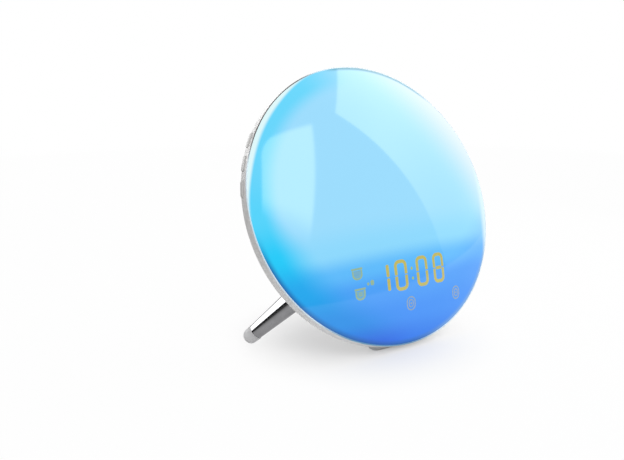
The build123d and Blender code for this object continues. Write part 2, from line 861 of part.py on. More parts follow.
with BuildPart() as display_frame:
    with BuildSketch(face_plane(display_back)):
        display_outline(0)
    extrude(amount=lamp_rise)
    with BuildSketch(face_plane(tray_front)):
        with Locations(display_middle):
            Rectangle(display_width + 2 * frame_lip, display_height + 2 * frame_lip)
        with Locations((0, 0)):
            Circle(tray_floor_radius, mode=Mode.INTERSECT)
    extrude(amount=tray_wall)
    add(lamp_cavity.part, mode=Mode.INTERSECT)
    extrude(segment_sketch(face_plane(display_back), 0), amount=lamp_rise, mode=Mode.SUBTRACT)
    extrude(icon_sketch(face_plane(display_back), 0), amount=lamp_rise, mode=Mode.SUBTRACT)
save(display_frame, "display_frame")

with BuildPart() as display_segments:
    extrude(segment_sketch(face_plane(display_back), fit_gap), amount=lamp_rise)
    add(lamp_cavity.part, mode=Mode.INTERSECT)
save(display_segments, "display_segments")

with BuildPart() as display_icons:
    extrude(icon_sketch(face_plane(display_back), fit_gap), amount=lamp_rise)
    add(lamp_cavity.part, mode=Mode.INTERSECT)
save(display_icons, "display_icons")

with BuildPart() as display_board:
    with BuildSketch(face_plane(display_back)):
        display_outline(0)
    extrude(amount=-board_thickness)
save(display_board, "display_board")

# Two touch keys under the dome: a narrow board on the tray's flange and a light guide over each.
touch_left = touch_across[0] - 2 * touch_radius
touch_right = touch_across[1] + touch_radius
touch_points = [(across, touch_level) for across in touch_across]
touch_board_radius = tray_flange_radius - touch_board_setback
with BuildPart() as touch_board:
    with BuildSketch(face_plane(flange_front)):
        with Locations(((touch_left + touch_right) / 2, touch_level - touch_radius)):
            Rectangle(touch_right - touch_left, 4 * touch_radius - 2 * fit_gap)
        with Locations((0, 0)):
            Circle(touch_board_radius, mode=Mode.INTERSECT)
    extrude(amount=tray_wall)
    with BuildSketch(face_plane(flange_front)):
        with Locations(display_middle):
            lip_and_gap = 2 * (frame_lip + seat_gap)
            Rectangle(display_width + lip_and_gap, display_height + lip_and_gap)
        with Locations(tray_screw_points):
            Circle(screw_head_radius + seat_gap)
    extrude(amount=tray_wall, mode=Mode.SUBTRACT)
save(touch_board, "touch_board")

with BuildPart() as touch_guides:
    with BuildSketch(face_plane(flange_front + tray_wall)):
        with Locations(touch_points):
            Circle(touch_radius)
    extrude(amount=lamp_rise)
    with BuildSketch(face_plane(flange_front + tray_wall)):
        with Locations(display_middle):
            Rectangle(display_width + 2 * seat_gap, display_height + 2 * seat_gap)
    extrude(amount=lamp_rise, mode=Mode.SUBTRACT)
    add(lamp_cavity.part, mode=Mode.INTERSECT)
save(touch_guides, "touch_guides")

# ------------------------------------------------------------------------------ screws
def screw_set(name, plane, points, shank, outward=1):
    """Pan-head screws whose heads sit on a plane and whose shanks go through it."""
    with BuildPart() as screws:
        with BuildSketch(plane):
            with Locations(points):
                Circle(screw_head_radius)
        extrude(amount=outward * screw_head_height)
        with BuildSketch(plane):
            with Locations(points):
                Circle(screw_radius)
        extrude(amount=-outward * shank)
    save(screws, name)


screw_grip = screw_length - 2 * tray_wall
screw_set("tray_screws", face_plane(flange_front), tray_screw_points, screw_grip)
housing_seat = face_plane(alcove_floor + screw_head_height)
screw_set("housing_screws", housing_seat, housing_screws, housing_screw_length - rear_wall, -1)

# ------------------------------------------------------------------------------ main board
main_board_front = -main_board_depth + board_thickness
main_board_middle = (0, (main_board_top + main_board_bottom) / 2)
with BuildPart() as main_board:
    with BuildSketch(face_plane(-main_board_depth)):
        with Locations(main_board_middle):
            Rectangle(main_board_width, main_board_top - main_board_bottom)
        with Locations(board_posts):
            Circle(screw_radius + slide_gap, mode=Mode.SUBTRACT)
    extrude(amount=board_thickness)
save(main_board, "main_board")
screw_set("board_screws", face_plane(main_board_front), board_posts, screw_length - 1)

with BuildPart() as board_parts:
    for across, up, side_length, height in (processor, amplifier, clock_chip, power_coil):
        with BuildSketch(face_plane(main_board_front)):
            with Locations((across, up)):
                Rectangle(side_length, side_length)
        extrude(amount=height)
    with BuildSketch(face_plane(main_board_front)):
        with Locations(capacitors):
            Circle(capacitor_radius)
    extrude(amount=capacitor_height)
save(board_parts, "board_parts")

ribbon_bottom = main_board_front
ribbon_top = led_board_front - led_board_thickness
with BuildPart() as ribbon_plugs:
    with BuildSketch(face_plane(ribbon_bottom)):
        with Locations((0, ribbon_up)):
            Rectangle(plug_width, plug_thickness)
    extrude(amount=plug_height)
    with BuildSketch(face_plane(ribbon_top - plug_height)):
        with Locations((0, ribbon_up)):
            Rectangle(plug_width, plug_thickness)
    extrude(amount=plug_height)
save(ribbon_plugs, "ribbon_plugs")
with BuildPart() as lamp_ribbon:
    with BuildSketch(face_plane(ribbon_bottom + plug_height)):
        with Locations((0, ribbon_up)):
            Rectangle(ribbon_width, ribbon_thickness)
    extrude(amount=ribbon_top - ribbon_bottom - 2 * plug_height)
save(lamp_ribbon, "lamp_ribbon")

# ------------------------------------------------------------------------------ sockets
port_board_middle = (port_board_left + port_board_right) / 2
with BuildPart() as port_board:
    with BuildSketch(face_plane(alcove_wall_front + seat_gap)):
        with Locations((port_board_middle, port_board_up - board_thickness / 2)):
            Rectangle(port_board_right - port_board_left, board_thickness)
    extrude(amount=connector_front - alcove_wall_front - seat_gap)
save(port_board, "port_board")

with BuildPart() as usb_socket:
    with BuildSketch(face_plane(alcove_floor)):
        with Locations((usb_across, usb_up)):
            Rectangle(usb_width, usb_height)
            Rectangle(usb_width - 2 * usb_wall, usb_height - 2 * usb_wall, mode=Mode.SUBTRACT)
    extrude(amount=usb_length)
save(usb_socket, "usb_socket")

usb_inner_width = usb_width - 2 * usb_wall
usb_inner_height = usb_height - 2 * usb_wall
tongue_up = usb_up + (usb_inner_height - tongue_thickness) / 2 - tongue_headroom
with BuildPart() as usb_tongue:
    with BuildSketch(face_plane(connector_front)):
        with Locations((usb_across, usb_up)):
            Rectangle(usb_inner_width, usb_inner_height)
    extrude(amount=-usb_base_depth)
    with BuildSketch(face_plane(connector_front)):
        with Locations((usb_across, tongue_up)):
            Rectangle(usb_inner_width - 2 * tongue_margin, tongue_thickness)
    extrude(amount=-usb_length + tongue_inset)
save(usb_tongue, "usb_tongue")

jack_body_back = alcove_wall_front + seat_gap
with BuildPart() as dc_jack:
    with BuildSketch(face_plane(jack_body_back)):
        with Locations((jack_across, jack_up)):
            Rectangle(jack_width, jack_height)
    extrude(amount=connector_front - jack_body_back)
    with BuildSketch(face_plane(jack_body_back)):
        with Locations((jack_across, jack_up)):
            Circle(min(jack_nose_radius, jack_height / 2))
    extrude(amount=alcove_floor - jack_body_back)
    with BuildSketch(face_plane(alcove_floor)):
        with Locations((jack_across, jack_up)):
            Circle(jack_bore_radius)
    extrude(amount=jack_bore_depth, mode=Mode.SUBTRACT)
save(dc_jack, "dc_jack")

with BuildPart() as dc_pin:
    with BuildSketch(face_plane(alcove_floor + jack_bore_depth)):
        with Locations((jack_across, jack_up)):
            Circle(jack_pin_radius)
    extrude(amount=-jack_bore_depth + tongue_inset)
    fillet(dc_pin.edges().filter_by(GeomType.CIRCLE).sort_by(face_axis)[0], jack_pin_round)
save(dc_pin, "dc_pin")

# ------------------------------------------------------------------------------ keys and switches
switch_top = switch_plane + switch_depth
plunger_top = switch_top + plunger_length
plunger_sunk = plunger_length - seat_gap


def ring_cylinder(radius):
    with BuildPart() as form:
        with BuildSketch(face_plane(-band_depth)):
            Circle(radius)
        extrude(amount=band_depth)
    return form.part


cap_limit = ring_cylinder(ring_radius + key_proud)
flange_limit = ring_cylinder(ring_inner - seat_gap)


def make_key(name, angle, offset):
    """A keycap through the ring, its flange behind the ring's wall, and a stem to the switch."""
    corner = abs(offset) + key_length / 2 + key_flange
    flange_at = sqrt((ring_inner - seat_gap) ** 2 - corner**2) - key_speaker_flange
    reach = ring_radius + 2 * key_proud - flange_at
    with BuildPart() as flange:
        with BuildSketch(row_plane(angle, flange_at, offset)):
            SlotOverall(key_length + 2 * key_flange, key_height)
        extrude(amount=reach)
        add(flange_limit, mode=Mode.INTERSECT)
    with BuildPart() as cap:
        with BuildSketch(row_plane(angle, flange_at, offset)):
            SlotOverall(key_length, key_height)
        extrude(amount=reach)
        add(cap_limit, mode=Mode.INTERSECT)
        outward = row_frame(angle)[0]
        outer = cap.faces().sort_by(lambda face: (face.center() - face_origin).dot(outward))[-1]
        fillet(outer.edges(), radius=key_round)
        add(flange.part)
        with BuildSketch(row_plane(angle, plunger_top, offset)):
            Rectangle(key_stem, key_stem)
        extrude(amount=flange_at - plunger_top + key_speaker_flange / 2)
    save(cap, name)
    with BuildPart() as plunger:
        with BuildSketch(row_plane(angle, switch_top - plunger_sunk, offset)):
            Circle(plunger_radius)
        extrude(amount=plunger_length + plunger_sunk)
    save(plunger, f"{name}_plunger")


for row_name, (angle, names) in zip(("left", "right"), key_rows):
    board_half = row_half_length(names) + board_end_margin - fit_gap
    board_level = key_centre + shelf_back - key_board_height / 2
    with BuildPart() as key_board:
        with BuildSketch(row_plane(angle, switch_plane - key_board_thickness)):
            with Locations((0, board_level)):
                Rectangle(2 * board_half, key_board_height - 2 * fit_gap)
        extrude(amount=key_board_thickness)
    save(key_board, f"{row_name}_key_board")
    with BuildPart() as switches:
        for offset in key_offsets(names):
            with BuildSketch(row_plane(angle, switch_plane, offset)):
                Rectangle(switch_length, switch_height)
            extrude(amount=switch_depth)
            with BuildSketch(row_plane(angle, switch_top, offset)):
                Circle(plunger_radius + slide_gap)
            extrude(amount=-plunger_sunk - key_travel - seat_gap, mode=Mode.SUBTRACT)
    save(switches, f"{row_name}_key_switches")
    for name, offset in zip(names, key_offsets(names)):
        make_key(name, angle, offset)


# ------------------------------------------------------------------------------ speakers
def axis_section(plane):
    """The half-plane for turned profiles: local x is the radius, local y runs along the axis."""
    outward = plane.z_dir
    radial = outward.cross(sideways).normalized()
    return Plane(origin=plane.origin, x_dir=radial, z_dir=radial.cross(outward))


basket_depth = speaker_depth - magnet_thickness
basket_mouth = speaker_hole + seat_gap
cone_edge = speaker_hole - cone_margin
coil_bore = coil_radius + seat_gap
for side, side_name in ((-1, "left"), (1, "right")):
    gasket_plane = speaker_plane(speaker_seat, side)
    with BuildPart() as gasket:
        with BuildSketch(gasket_plane):
            Circle(speaker_radius)
            Circle(speaker_hole, mode=Mode.SUBTRACT)
        extrude(amount=-gasket_thickness)
    save(gasket, f"{side_name}_speaker_gasket")

    frame_plane = speaker_plane(speaker_seat - gasket_thickness, side)
    section = axis_section(frame_plane)
    frame_axis = Axis(frame_plane.origin, frame_plane.z_dir)
    with BuildPart() as frame:
        with BuildSketch(section):
            with BuildLine():
                Polyline(
                    (cone_edge + fit_gap, 0),
                    (speaker_radius, 0),
                    (speaker_radius, -speaker_flange),
                    (basket_mouth, -speaker_flange),
                    (magnet_radius, -basket_depth + speaker_flange),
                    (magnet_radius, -basket_depth),
                    (coil_bore, -basket_depth),
                    (coil_bore, -basket_depth + speaker_flange),
                    (magnet_radius - speaker_flange, -basket_depth + speaker_flange),
                    (cone_edge + fit_gap, -speaker_flange),
                    close=True,
                )
            make_face()
        revolve(axis=frame_axis)
        window_plane = speaker_seat - gasket_thickness - basket_window_start
        with BuildSketch(speaker_plane(window_plane, side)):
            for turn in (0, 90):
                with Locations(Location((0, 0), turn)):
                    Rectangle(4 * speaker_radius, magnet_radius)
        extrude(amount=-basket_window_height, mode=Mode.SUBTRACT)
    save(frame, f"{side_name}_speaker_frame")

    with BuildPart() as magnet:
        with BuildSketch(speaker_plane(speaker_seat - gasket_thickness - basket_depth, side)):
            Circle(magnet_radius)
        extrude(amount=-magnet_thickness)
    save(magnet, f"{side_name}_speaker_magnet")

    with BuildPart() as cone:
        with BuildSketch(section):
            with BuildLine():
                Polyline(
                    (0, -cone_cap_depth),
                    (coil_radius, -cone_neck_depth),
                    (cone_edge - speaker_flange, -cone_wall),
                    (cone_edge, -cone_wall),
                    (cone_edge, -2 * cone_wall),
                    (cone_edge - speaker_flange, -2 * cone_wall),
                    (coil_radius, -cone_neck_depth - cone_neck_wall),
                    (coil_radius, -basket_depth + coil_end_gap),
                    (0, -basket_depth + coil_end_gap),
                    close=True,
                )
            make_face()
        revolve(axis=frame_axis)
    save(cone, f"{side_name}_speaker_cone")

# ------------------------------------------------------------------------------ backup battery
with BuildPart() as battery_cover:
    with BuildSketch(turning_plane):
        with BuildLine():
            half = cover_radius / 2
            edge = rear_height(cover_radius)
            flat_radius = cover_radius - cover_bevel
            Line((0, rear_height(0) + rear_wall), (0, rear_height(0)))
            ThreePointArc(
                (0, rear_height(0)),
                (half, rear_height(half)),
                (flat_radius, rear_height(flat_radius)),
            )
            Line((flat_radius, rear_height(flat_radius)), (cover_radius, edge + cover_bevel))
            Line((cover_radius, edge + cover_bevel), (cover_radius, edge + rear_wall))
            ThreePointArc(
                (cover_radius, edge + rear_wall),
                (half, rear_height(half) + rear_wall),
                (0, rear_height(0) + rear_wall),
            )
        make_face()
    revolve(axis=face_axis)
    with BuildSketch(face_plane(lug_front)):
        Circle(cover_skirt_radius)
        Circle(cover_skirt_radius - cover_skirt_wall, mode=Mode.SUBTRACT)
    extrude(amount=rear_height(cover_skirt_radius) + rear_wall / 2 - lug_front)
    for angle in lug_angles:
        lug = sector(face_plane(lug_front), lug_radius, angle, cover_lug_angle, -cover_lug_thickness)
        add(lug)
    with BuildSketch(face_plane(lug_back)):
        Circle(cover_skirt_radius - cover_skirt_wall)
    extrude(amount=2 * cover_lug_thickness, mode=Mode.SUBTRACT)
    with BuildSketch(face_plane(rear_height(0) + coin_slot_depth)):
        with Locations((0, coin_slot_up)):
            SlotOverall(coin_slot_length, coin_slot_width)
        with Locations((-coin_slot_length / 2 - cover_dot_gap, coin_slot_up - cover_dot_drop)):
            Circle(cover_dot_radius)
    extrude(amount=-2 * coin_slot_depth, mode=Mode.SUBTRACT)
save(battery_cover, "battery_cover")

holder_radius = coin_radius + holder_wall
coin_back = well_floor_back - holder_floor - coin_thickness
with BuildPart() as battery_holder:
    with BuildSketch(face_plane(well_floor_back)):
        Circle(holder_radius)
    extrude(amount=coin_back - well_floor_back)
    with BuildSketch(face_plane(well_floor_back - holder_floor)):
        Circle(coin_radius + slide_gap)
    extrude(amount=-coin_thickness, mode=Mode.SUBTRACT)
save(battery_holder, "battery_holder")
with BuildPart() as coin_cell:
    with BuildSketch(face_plane(well_floor_back - holder_floor)):
        Circle(coin_radius)
    extrude(amount=-coin_thickness)
    rims = coin_cell.edges().filter_by(GeomType.CIRCLE)
    chamfer(rims, length=seat_gap)
save(coin_cell, "coin_cell")
with BuildPart() as battery_contact:
    with BuildSketch(face_plane(coin_back)):
        SlotOverall(2 * holder_radius, contact_width)
    extrude(amount=-contact_thickness)
save(battery_contact, "battery_contact")

# ------------------------------------------------------------------------------ legs
bore_radius = leg_tip_radius - leg_wall
for side, side_name in ((-1, "left"), (1, "right")):
    seat = leg_plane(0, side)
    section = axis_section(seat)
    leg_axis = Axis(seat.origin, seat.z_dir)
    with BuildPart() as leg:
        with BuildSketch(section):
            with BuildLine():
                Polyline(
                    (stud_radius, 0),
                    (leg_top_radius, 0),
                    (leg_tip_radius, leg_length),
                    (bore_radius, leg_length),
                    (bore_radius, leg_solid_length),
                    (stud_radius, leg_solid_length),
                    close=True,
                )
            make_face()
        revolve(axis=leg_axis)
        rim = leg.edges().filter_by(GeomType.CIRCLE).sort_by(lambda edge: edge.radius)[-1]
        chamfer(rim, length=seat_gap)
    save(leg, f"{side_name}_leg")
    with BuildPart() as stud:
        with BuildSketch(leg_plane(leg_solid_length, side)):
            Circle(stud_radius)
        extrude(amount=-leg_solid_length - stud_length)
    save(stud, f"{side_name}_leg_stud")
    with BuildPart() as insert:
        with BuildSketch(seat):
            Circle(insert_radius)
            Circle(stud_radius, mode=Mode.SUBTRACT)
        extrude(amount=-insert_length)
    save(insert, f"{side_name}_leg_insert")
    with BuildPart() as tip:
        with BuildSketch(section):
            with BuildLine():
                diagonal = leg_tip_radius * sqrt(0.5)
                Line((0, leg_length - tip_plug_length), (bore_radius, leg_length - tip_plug_length))
                Line((bore_radius, leg_length - tip_plug_length), (bore_radius, leg_length))
                Line((bore_radius, leg_length), (leg_tip_radius, leg_length))
                ThreePointArc(
                    (leg_tip_radius, leg_length),
                    (diagonal, leg_length + diagonal),
                    (0, leg_length + leg_tip_radius),
                )
                Line((0, leg_length + leg_tip_radius), (0, leg_length - tip_plug_length))
            make_face()
        revolve(axis=leg_axis)
    save(tip, f"{side_name}_leg_tip")
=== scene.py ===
import json
from math import cos, hypot, pi, radians, sin, sqrt, tan

import bmesh
import bpy
from mathutils import Matrix, Vector


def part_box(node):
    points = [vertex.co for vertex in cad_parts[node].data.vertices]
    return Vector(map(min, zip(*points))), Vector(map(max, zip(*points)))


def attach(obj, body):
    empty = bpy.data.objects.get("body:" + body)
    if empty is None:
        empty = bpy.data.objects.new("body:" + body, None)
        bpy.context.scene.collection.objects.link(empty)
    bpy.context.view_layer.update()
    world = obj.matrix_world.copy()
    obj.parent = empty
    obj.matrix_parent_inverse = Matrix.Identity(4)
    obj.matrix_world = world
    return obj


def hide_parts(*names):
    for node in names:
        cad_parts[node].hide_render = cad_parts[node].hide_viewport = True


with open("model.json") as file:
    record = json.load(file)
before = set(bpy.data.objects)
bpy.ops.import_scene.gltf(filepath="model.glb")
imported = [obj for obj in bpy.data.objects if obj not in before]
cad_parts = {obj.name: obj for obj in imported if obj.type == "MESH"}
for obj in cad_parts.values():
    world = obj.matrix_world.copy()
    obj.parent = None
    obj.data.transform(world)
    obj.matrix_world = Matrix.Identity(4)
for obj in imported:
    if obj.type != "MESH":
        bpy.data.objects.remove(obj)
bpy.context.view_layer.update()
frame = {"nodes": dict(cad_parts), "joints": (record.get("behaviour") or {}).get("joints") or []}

nodes = frame["nodes"]

# ---------------------------------------------------------------- the clock's face
# The clock leans back, so its pieces are placed by the face: across, up the face, and out of it.
# The battery cover turns about the face's own axis, which gives the lean and the middle.
cover_hinge = next(j for j in frame["joints"] if j["name"] == "battery_door_turn")
face_out = -Vector(cover_hinge["axis"]).normalized()
face_up = Vector((0, face_out.z, -face_out.y))
face_across = Vector((1, 0, 0))
clock_depth = 0.0475  # from the rim of the lit dome to the middle of the back
rim_middle = Vector(cover_hinge["pos_m"]) + face_out * clock_depth
mm = 0.001


def face_point(across, up, out=0.0):
    """A place given in millimetres on the face."""
    return rim_middle + (face_across * across + face_up * up + face_out * out) * mm


# ---------------------------------------------------------------- studio
# A white sweep of card in a pale room that is dimmer on the camera's side. Softboxes before, beside
# and behind the clock light it, and a strip lamp shows only in what is polished.
lens_mm = 45.89
camera_turn = radians(-33.04)
camera_dip = radians(14.23)
camera_place = rim_middle + Vector((-0.3189, -0.41163, 0.11238))

camera_data = bpy.data.cameras.new("studio_camera")
camera_data.lens = lens_mm
camera_data.sensor_width = 36
camera_data.clip_start = 0.01
camera = bpy.data.objects.new("studio_camera", camera_data)
camera.location = camera_place
camera.rotation_euler = (pi / 2 - camera_dip, 0, camera_turn)
bpy.context.collection.objects.link(camera)
bpy.context.scene.camera = camera
bpy.context.scene.view_settings.view_transform = "Standard"


def new_finish(name, colour, roughness, metallic=0.0):
    """A material with one principled shader. Returns the material, its nodes and the shader."""
    finish = bpy.data.materials.new(name)
    finish.use_nodes = True
    shader = finish.node_tree.nodes["Principled BSDF"]
    shader.inputs["Base Color"].default_value = (*colour, 1)
    shader.inputs["Roughness"].default_value = roughness
    shader.inputs["Metallic"].default_value = metallic
    return finish, finish.node_tree, shader


def feed(tree, socket, value):
    """Gives a socket what another socket puts out, a plain colour or a number."""
    if isinstance(value, bpy.types.NodeSocket):
        tree.links.new(value, socket)
    elif isinstance(value, tuple):
        socket.default_value = (*value, 1)
    else:
        socket.default_value = value


def reshaped(tree, value, low, high, to_low=0.0, to_high=1.0, curve="SMOOTHSTEP"):
    """A value spread from one range to another, smoothly or LINEAR."""
    spread = tree.nodes.new("ShaderNodeMapRange")
    spread.interpolation_type = curve
    ends = {"From Min": low, "From Max": high, "To Min": to_low, "To Max": to_high}
    for name, number in ends.items():
        feed(tree, spread.inputs[name], number)
    feed(tree, spread.inputs["Value"], value)
    return spread.outputs["Result"]


def calculated(tree, operation, first, second):
    """Two values put together; each may be a socket or a number."""
    step = tree.nodes.new("ShaderNodeMath")
    step.operation = operation
    feed(tree, step.inputs[0], first)
    feed(tree, step.inputs[1], second)
    return step.outputs[0]


def is_seen(tree):
    """1 for rays from the camera or off a glossy or clear surface, 0 for those that only light."""
    path = tree.nodes.new("ShaderNodeLightPath")
    seen = path.outputs["Is Camera Ray"]
    for ray in ("Is Glossy Ray", "Is Transmission Ray"):
        seen = calculated(tree, "MAXIMUM", seen, path.outputs[ray])
    return seen


floor_reach = 6.0
shadow_middle = (-0.010, 0.025, 0.0)  # the middle of the clock's shadow on the floor
floor_lit = 0.025  # how far round it the floor shows the full shadow
floor_white = 0.098  # and where it has turned to the backdrop's white
floor_near = 0.32  # the share of that white under the clock
floor_far = 0.97  # and beyond it
backdrop_reach = 1.0  # where the floor is the backdrop's white alone

floor_mesh = bmesh.new()
bmesh.ops.create_grid(floor_mesh, x_segments=1, y_segments=1, size=floor_reach)
floor_data = bpy.data.meshes.new("studio_floor")
floor_mesh.to_mesh(floor_data)
floor_mesh.free()
studio_floor = bpy.data.objects.new("studio_floor", floor_data)
bpy.context.collection.objects.link(studio_floor)

card_roughness = 0.9
white_card, card_tree, card_shader = new_finish("white_card", (0.9, 0.9, 0.905), card_roughness)
card_shader.inputs["Specular IOR Level"].default_value = 0.1
card_white = card_tree.nodes.new("ShaderNodeEmission")
card_mix = card_tree.nodes.new("ShaderNodeMixShader")
card_place = card_tree.nodes.new("ShaderNodeTexCoord")
card_distance = card_tree.nodes.new("ShaderNodeVectorMath")
card_distance.operation = "DISTANCE"
card_distance.inputs[1].default_value = shadow_middle
card_tree.links.new(card_place.outputs["Object"], card_distance.inputs[0])
card_off = card_distance.outputs["Value"]
card_share = reshaped(card_tree, card_off, floor_lit, floor_white, floor_near, floor_far)
card_backdrop = reshaped(card_tree, card_off, floor_white, backdrop_reach)
card_share = calculated(card_tree, "MAXIMUM", card_share, card_backdrop)
card_share = calculated(card_tree, "MULTIPLY", card_share, is_seen(card_tree))
card_tree.links.new(card_share, card_mix.inputs[0])
card_tree.links.new(card_shader.outputs[0], card_mix.inputs[1])
card_tree.links.new(card_white.outputs[0], card_mix.inputs[2])
card_tree.links.new(card_mix.outputs[0], card_tree.nodes["Material Output"].inputs["Surface"])
floor_data.materials.append(white_card)

room_dimmest = 0.35  # how bright the room shows on the camera's side
room_turn = (-0.35, 0.15)  # the directions over which it turns to its full white
room_fill = 0.45  # the share of its white that lights the clock

room = bpy.data.worlds.new("studio_room")
room.use_nodes = True
bpy.context.scene.world = room
room_tree = room.node_tree
room_light = room_tree.nodes["Background"]
room_light.inputs["Color"].default_value = (1, 1, 1, 1)
room_place = room_tree.nodes.new("ShaderNodeTexCoord")
room_side = room_tree.nodes.new("ShaderNodeSeparateXYZ")
room_tree.links.new(room_place.outputs["Generated"], room_side.inputs[0])
room_path = room_tree.nodes.new("ShaderNodeLightPath")
room_depth = reshaped(room_tree, room_side.outputs["Y"], *room_turn, room_dimmest)
room_seen = calculated(room_tree, "MAXIMUM", room_depth, room_path.outputs["Is Camera Ray"])
room_strength = room_tree.nodes.new("ShaderNodeMix")
room_strength.inputs["A"].default_value = room_fill
room_tree.links.new(is_seen(room_tree), room_strength.inputs["Factor"])
room_tree.links.new(room_seen, room_strength.inputs["B"])
room_tree.links.new(room_strength.outputs["Result"], room_light.inputs["Strength"])


cloth_top = 1.001  # just over the cloth's upper edge, so that it may end with no fade


def softbox(name, middle, across, up, power, soft=(0.04, 0.04, 0.0), corner=(0.04, 0.04),
            foot=(1.0, 1.0), slanted=False, lights=True):
    """A rectangular lamp that faces the clock, given by its middle and its two sides.

    Its cloth fades at its right, lower and upper edges (soft). It is cut round at its upper left,
    or slanted down to its right (corner), and is dimmer towards its foot (share and height). One
    that doesn't light the room only shows in polished surfaces.
    """
    data = bpy.data.lights.new(name, "AREA")
    data.shape = "RECTANGLE"
    data.size, data.size_y = across.length, up.length
    data.energy = power
    side = across.normalized()
    away = side.cross(up.normalized())
    if away.dot(middle - rim_middle) < 0:
        side = -side
        away = -away
    lamp = bpy.data.objects.new(name, data)
    turn = Matrix((side, away.cross(side), away)).transposed().to_4x4()
    lamp.matrix_world = Matrix.Translation(middle) @ turn
    lamp.visible_camera = False
    bpy.context.collection.objects.link(lamp)
    lamp.visible_diffuse = lights
    data.use_nodes = True
    tree = data.node_tree
    cloth = tree.nodes.new("ShaderNodeNewGeometry")
    spot = tree.nodes.new("ShaderNodeSeparateXYZ")
    tree.links.new(cloth.outputs["Parametric"], spot.inputs[0])
    strength = reshaped(tree, spot.outputs["Y"], 0.0, foot[1], foot[0])
    edges = (("X", 1.0, 1.0 - soft[0]), ("Y", 0.0, soft[1]), ("Y", cloth_top, 1.0 - soft[2]))
    for output, edge, full in edges:
        fade = reshaped(tree, spot.outputs[output], edge, full)
        strength = calculated(tree, "MULTIPLY", strength, fade)
    cut_from, cut_to = (0.0, corner[0]) if slanted else (corner[0], 0.0)
    sideways = reshaped(tree, spot.outputs["X"], cut_from, cut_to, curve="LINEAR")
    upwards = reshaped(tree, spot.outputs["Y"], 1.0 - corner[1], 1.0, curve="LINEAR")
    bend, full = (1.0, 0.92) if slanted else (2.0, 0.8)
    cut = calculated(tree, "ADD", calculated(tree, "POWER", sideways, bend),
                     calculated(tree, "POWER", upwards, bend))
    strength = calculated(tree, "MULTIPLY", strength, reshaped(tree, cut, 1.0, full))
    tree.links.new(strength, tree.nodes["Emission"].inputs["Strength"])


softbox("front_panel", rim_middle + Vector((-0.1585, -1.7465, 1.7834)),
        Vector((0.840, 0.730, -1.090)), Vector((0.478, 1.046, 1.273)), 28.5,
        soft=(0.05, 0.3, 0.06), corner=(0.44, 0.25))
softbox("right_softbox", rim_middle + Vector((0.45, -0.0337, 0.4779)),
        Vector((0, -0.599, -0.0386)), Vector((0, -0.0698, 1.0828)), 5.9,
        corner=(1.0, 0.314), foot=(0.15, 0.58), slanted=True)
softbox("left_strip", rim_middle + Vector((-1.03, 0.74, 0.32)), Vector((1.56, 2.08, 0)),
        Vector((0, 0, 0.64)), 16.0, soft=(0.05, 0.02, 0.0), lights=False)
softbox("rear_softbox", rim_middle + Vector((0.60, 1.15, 0.42)), Vector((1.06, -0.55, 0)),
        Vector((0, 0, 0.9)), 5.5)

# Two black cards, one standing under the strip lamp and one lying before it. They only draw a dark
# line and a soft shade into polished metal.
black_clear = 0.04  # a card is clear this near to where the clock stands
black_full = 0.24  # and fully black from here on

card_black, black_tree, black_shader = new_finish("card_black", (0.01, 0.01, 0.01), card_roughness)
black_place = black_tree.nodes.new("ShaderNodeTexCoord")
black_distance = black_tree.nodes.new("ShaderNodeVectorMath")
black_distance.operation = "LENGTH"
black_tree.links.new(black_place.outputs["Object"], black_distance.inputs[0])
black_cover = reshaped(black_tree, black_distance.outputs["Value"], black_clear, black_full)
black_tree.links.new(black_cover, black_shader.inputs["Alpha"])


def black_card(name, width, depth, tilt, turn, middle):
    """A card that only polished metal sees."""
    shape = bmesh.new()
    bmesh.ops.create_grid(shape, x_segments=1, y_segments=1, size=0.5)
    bmesh.ops.scale(shape, vec=(width, depth, 1), verts=shape.verts)
    lean = Matrix.Rotation(turn, 3, "Z") @ Matrix.Rotation(tilt, 3, "X")
    bmesh.ops.rotate(shape, cent=(0, 0, 0), matrix=lean, verts=shape.verts)
    bmesh.ops.translate(shape, vec=middle, verts=shape.verts)
    data = bpy.data.meshes.new(name)
    shape.to_mesh(data)
    shape.free()
    data.materials.append(card_black)
    card = bpy.data.objects.new(name, data)
    bpy.context.collection.objects.link(card)
    card.visible_camera = card.visible_diffuse = card.visible_shadow = False


card_turn = radians(53)
black_card("standing_card", 2.7, 0.24, pi / 2, card_turn, (-1.0, 0.74, 0.125))
black_card("lying_card", 2.7, 1.3, 0, card_turn, (-0.50, 0.36, 0.002))

# ---------------------------------------------------------------- lit dome
# One moulding of opal acrylic, polished on the outside. The lamps behind it light it from pale
# blue at the top to deep blue at the bottom, more deeply where its edge enters the ring.


def dress(finish, *names):
    """Gives CAD nodes this finish."""
    for name in names:
        node = nodes[name]
        node.data.materials.clear()
        node.data.materials.append(finish)


def along(tree, direction):
    """How far a point lies from the middle of the face in a direction, in metres."""
    place = tree.nodes.new("ShaderNodeTexCoord")
    offset = tree.nodes.new("ShaderNodeVectorMath")
    offset.operation = "SUBTRACT"
    offset.inputs[1].default_value = rim_middle
    tree.links.new(place.outputs["Object"], offset.inputs[0])
    length = tree.nodes.new("ShaderNodeVectorMath")
    length.operation = "DOT_PRODUCT"
    length.inputs[1].default_value = direction
    tree.links.new(offset.outputs["Vector"], length.inputs[0])
    return length.outputs["Value"]


def towards(tree, across, up, start, full, least=0.0, most=1.0):
    """A share that rises over a stretch of the face, in a direction given by its two parts."""
    reach = along(tree, face_across * across + face_up * up)
    return reshaped(tree, reach, start, full, least, most)


def off_axis(tree):
    """How far a point lies from the axis of the face."""
    across, up = along(tree, face_across), along(tree, face_up)
    squares = calculated(tree, "ADD", calculated(tree, "POWER", across, 2.0),
                         calculated(tree, "POWER", up, 2.0))
    return calculated(tree, "SQRT", squares, 0.0)


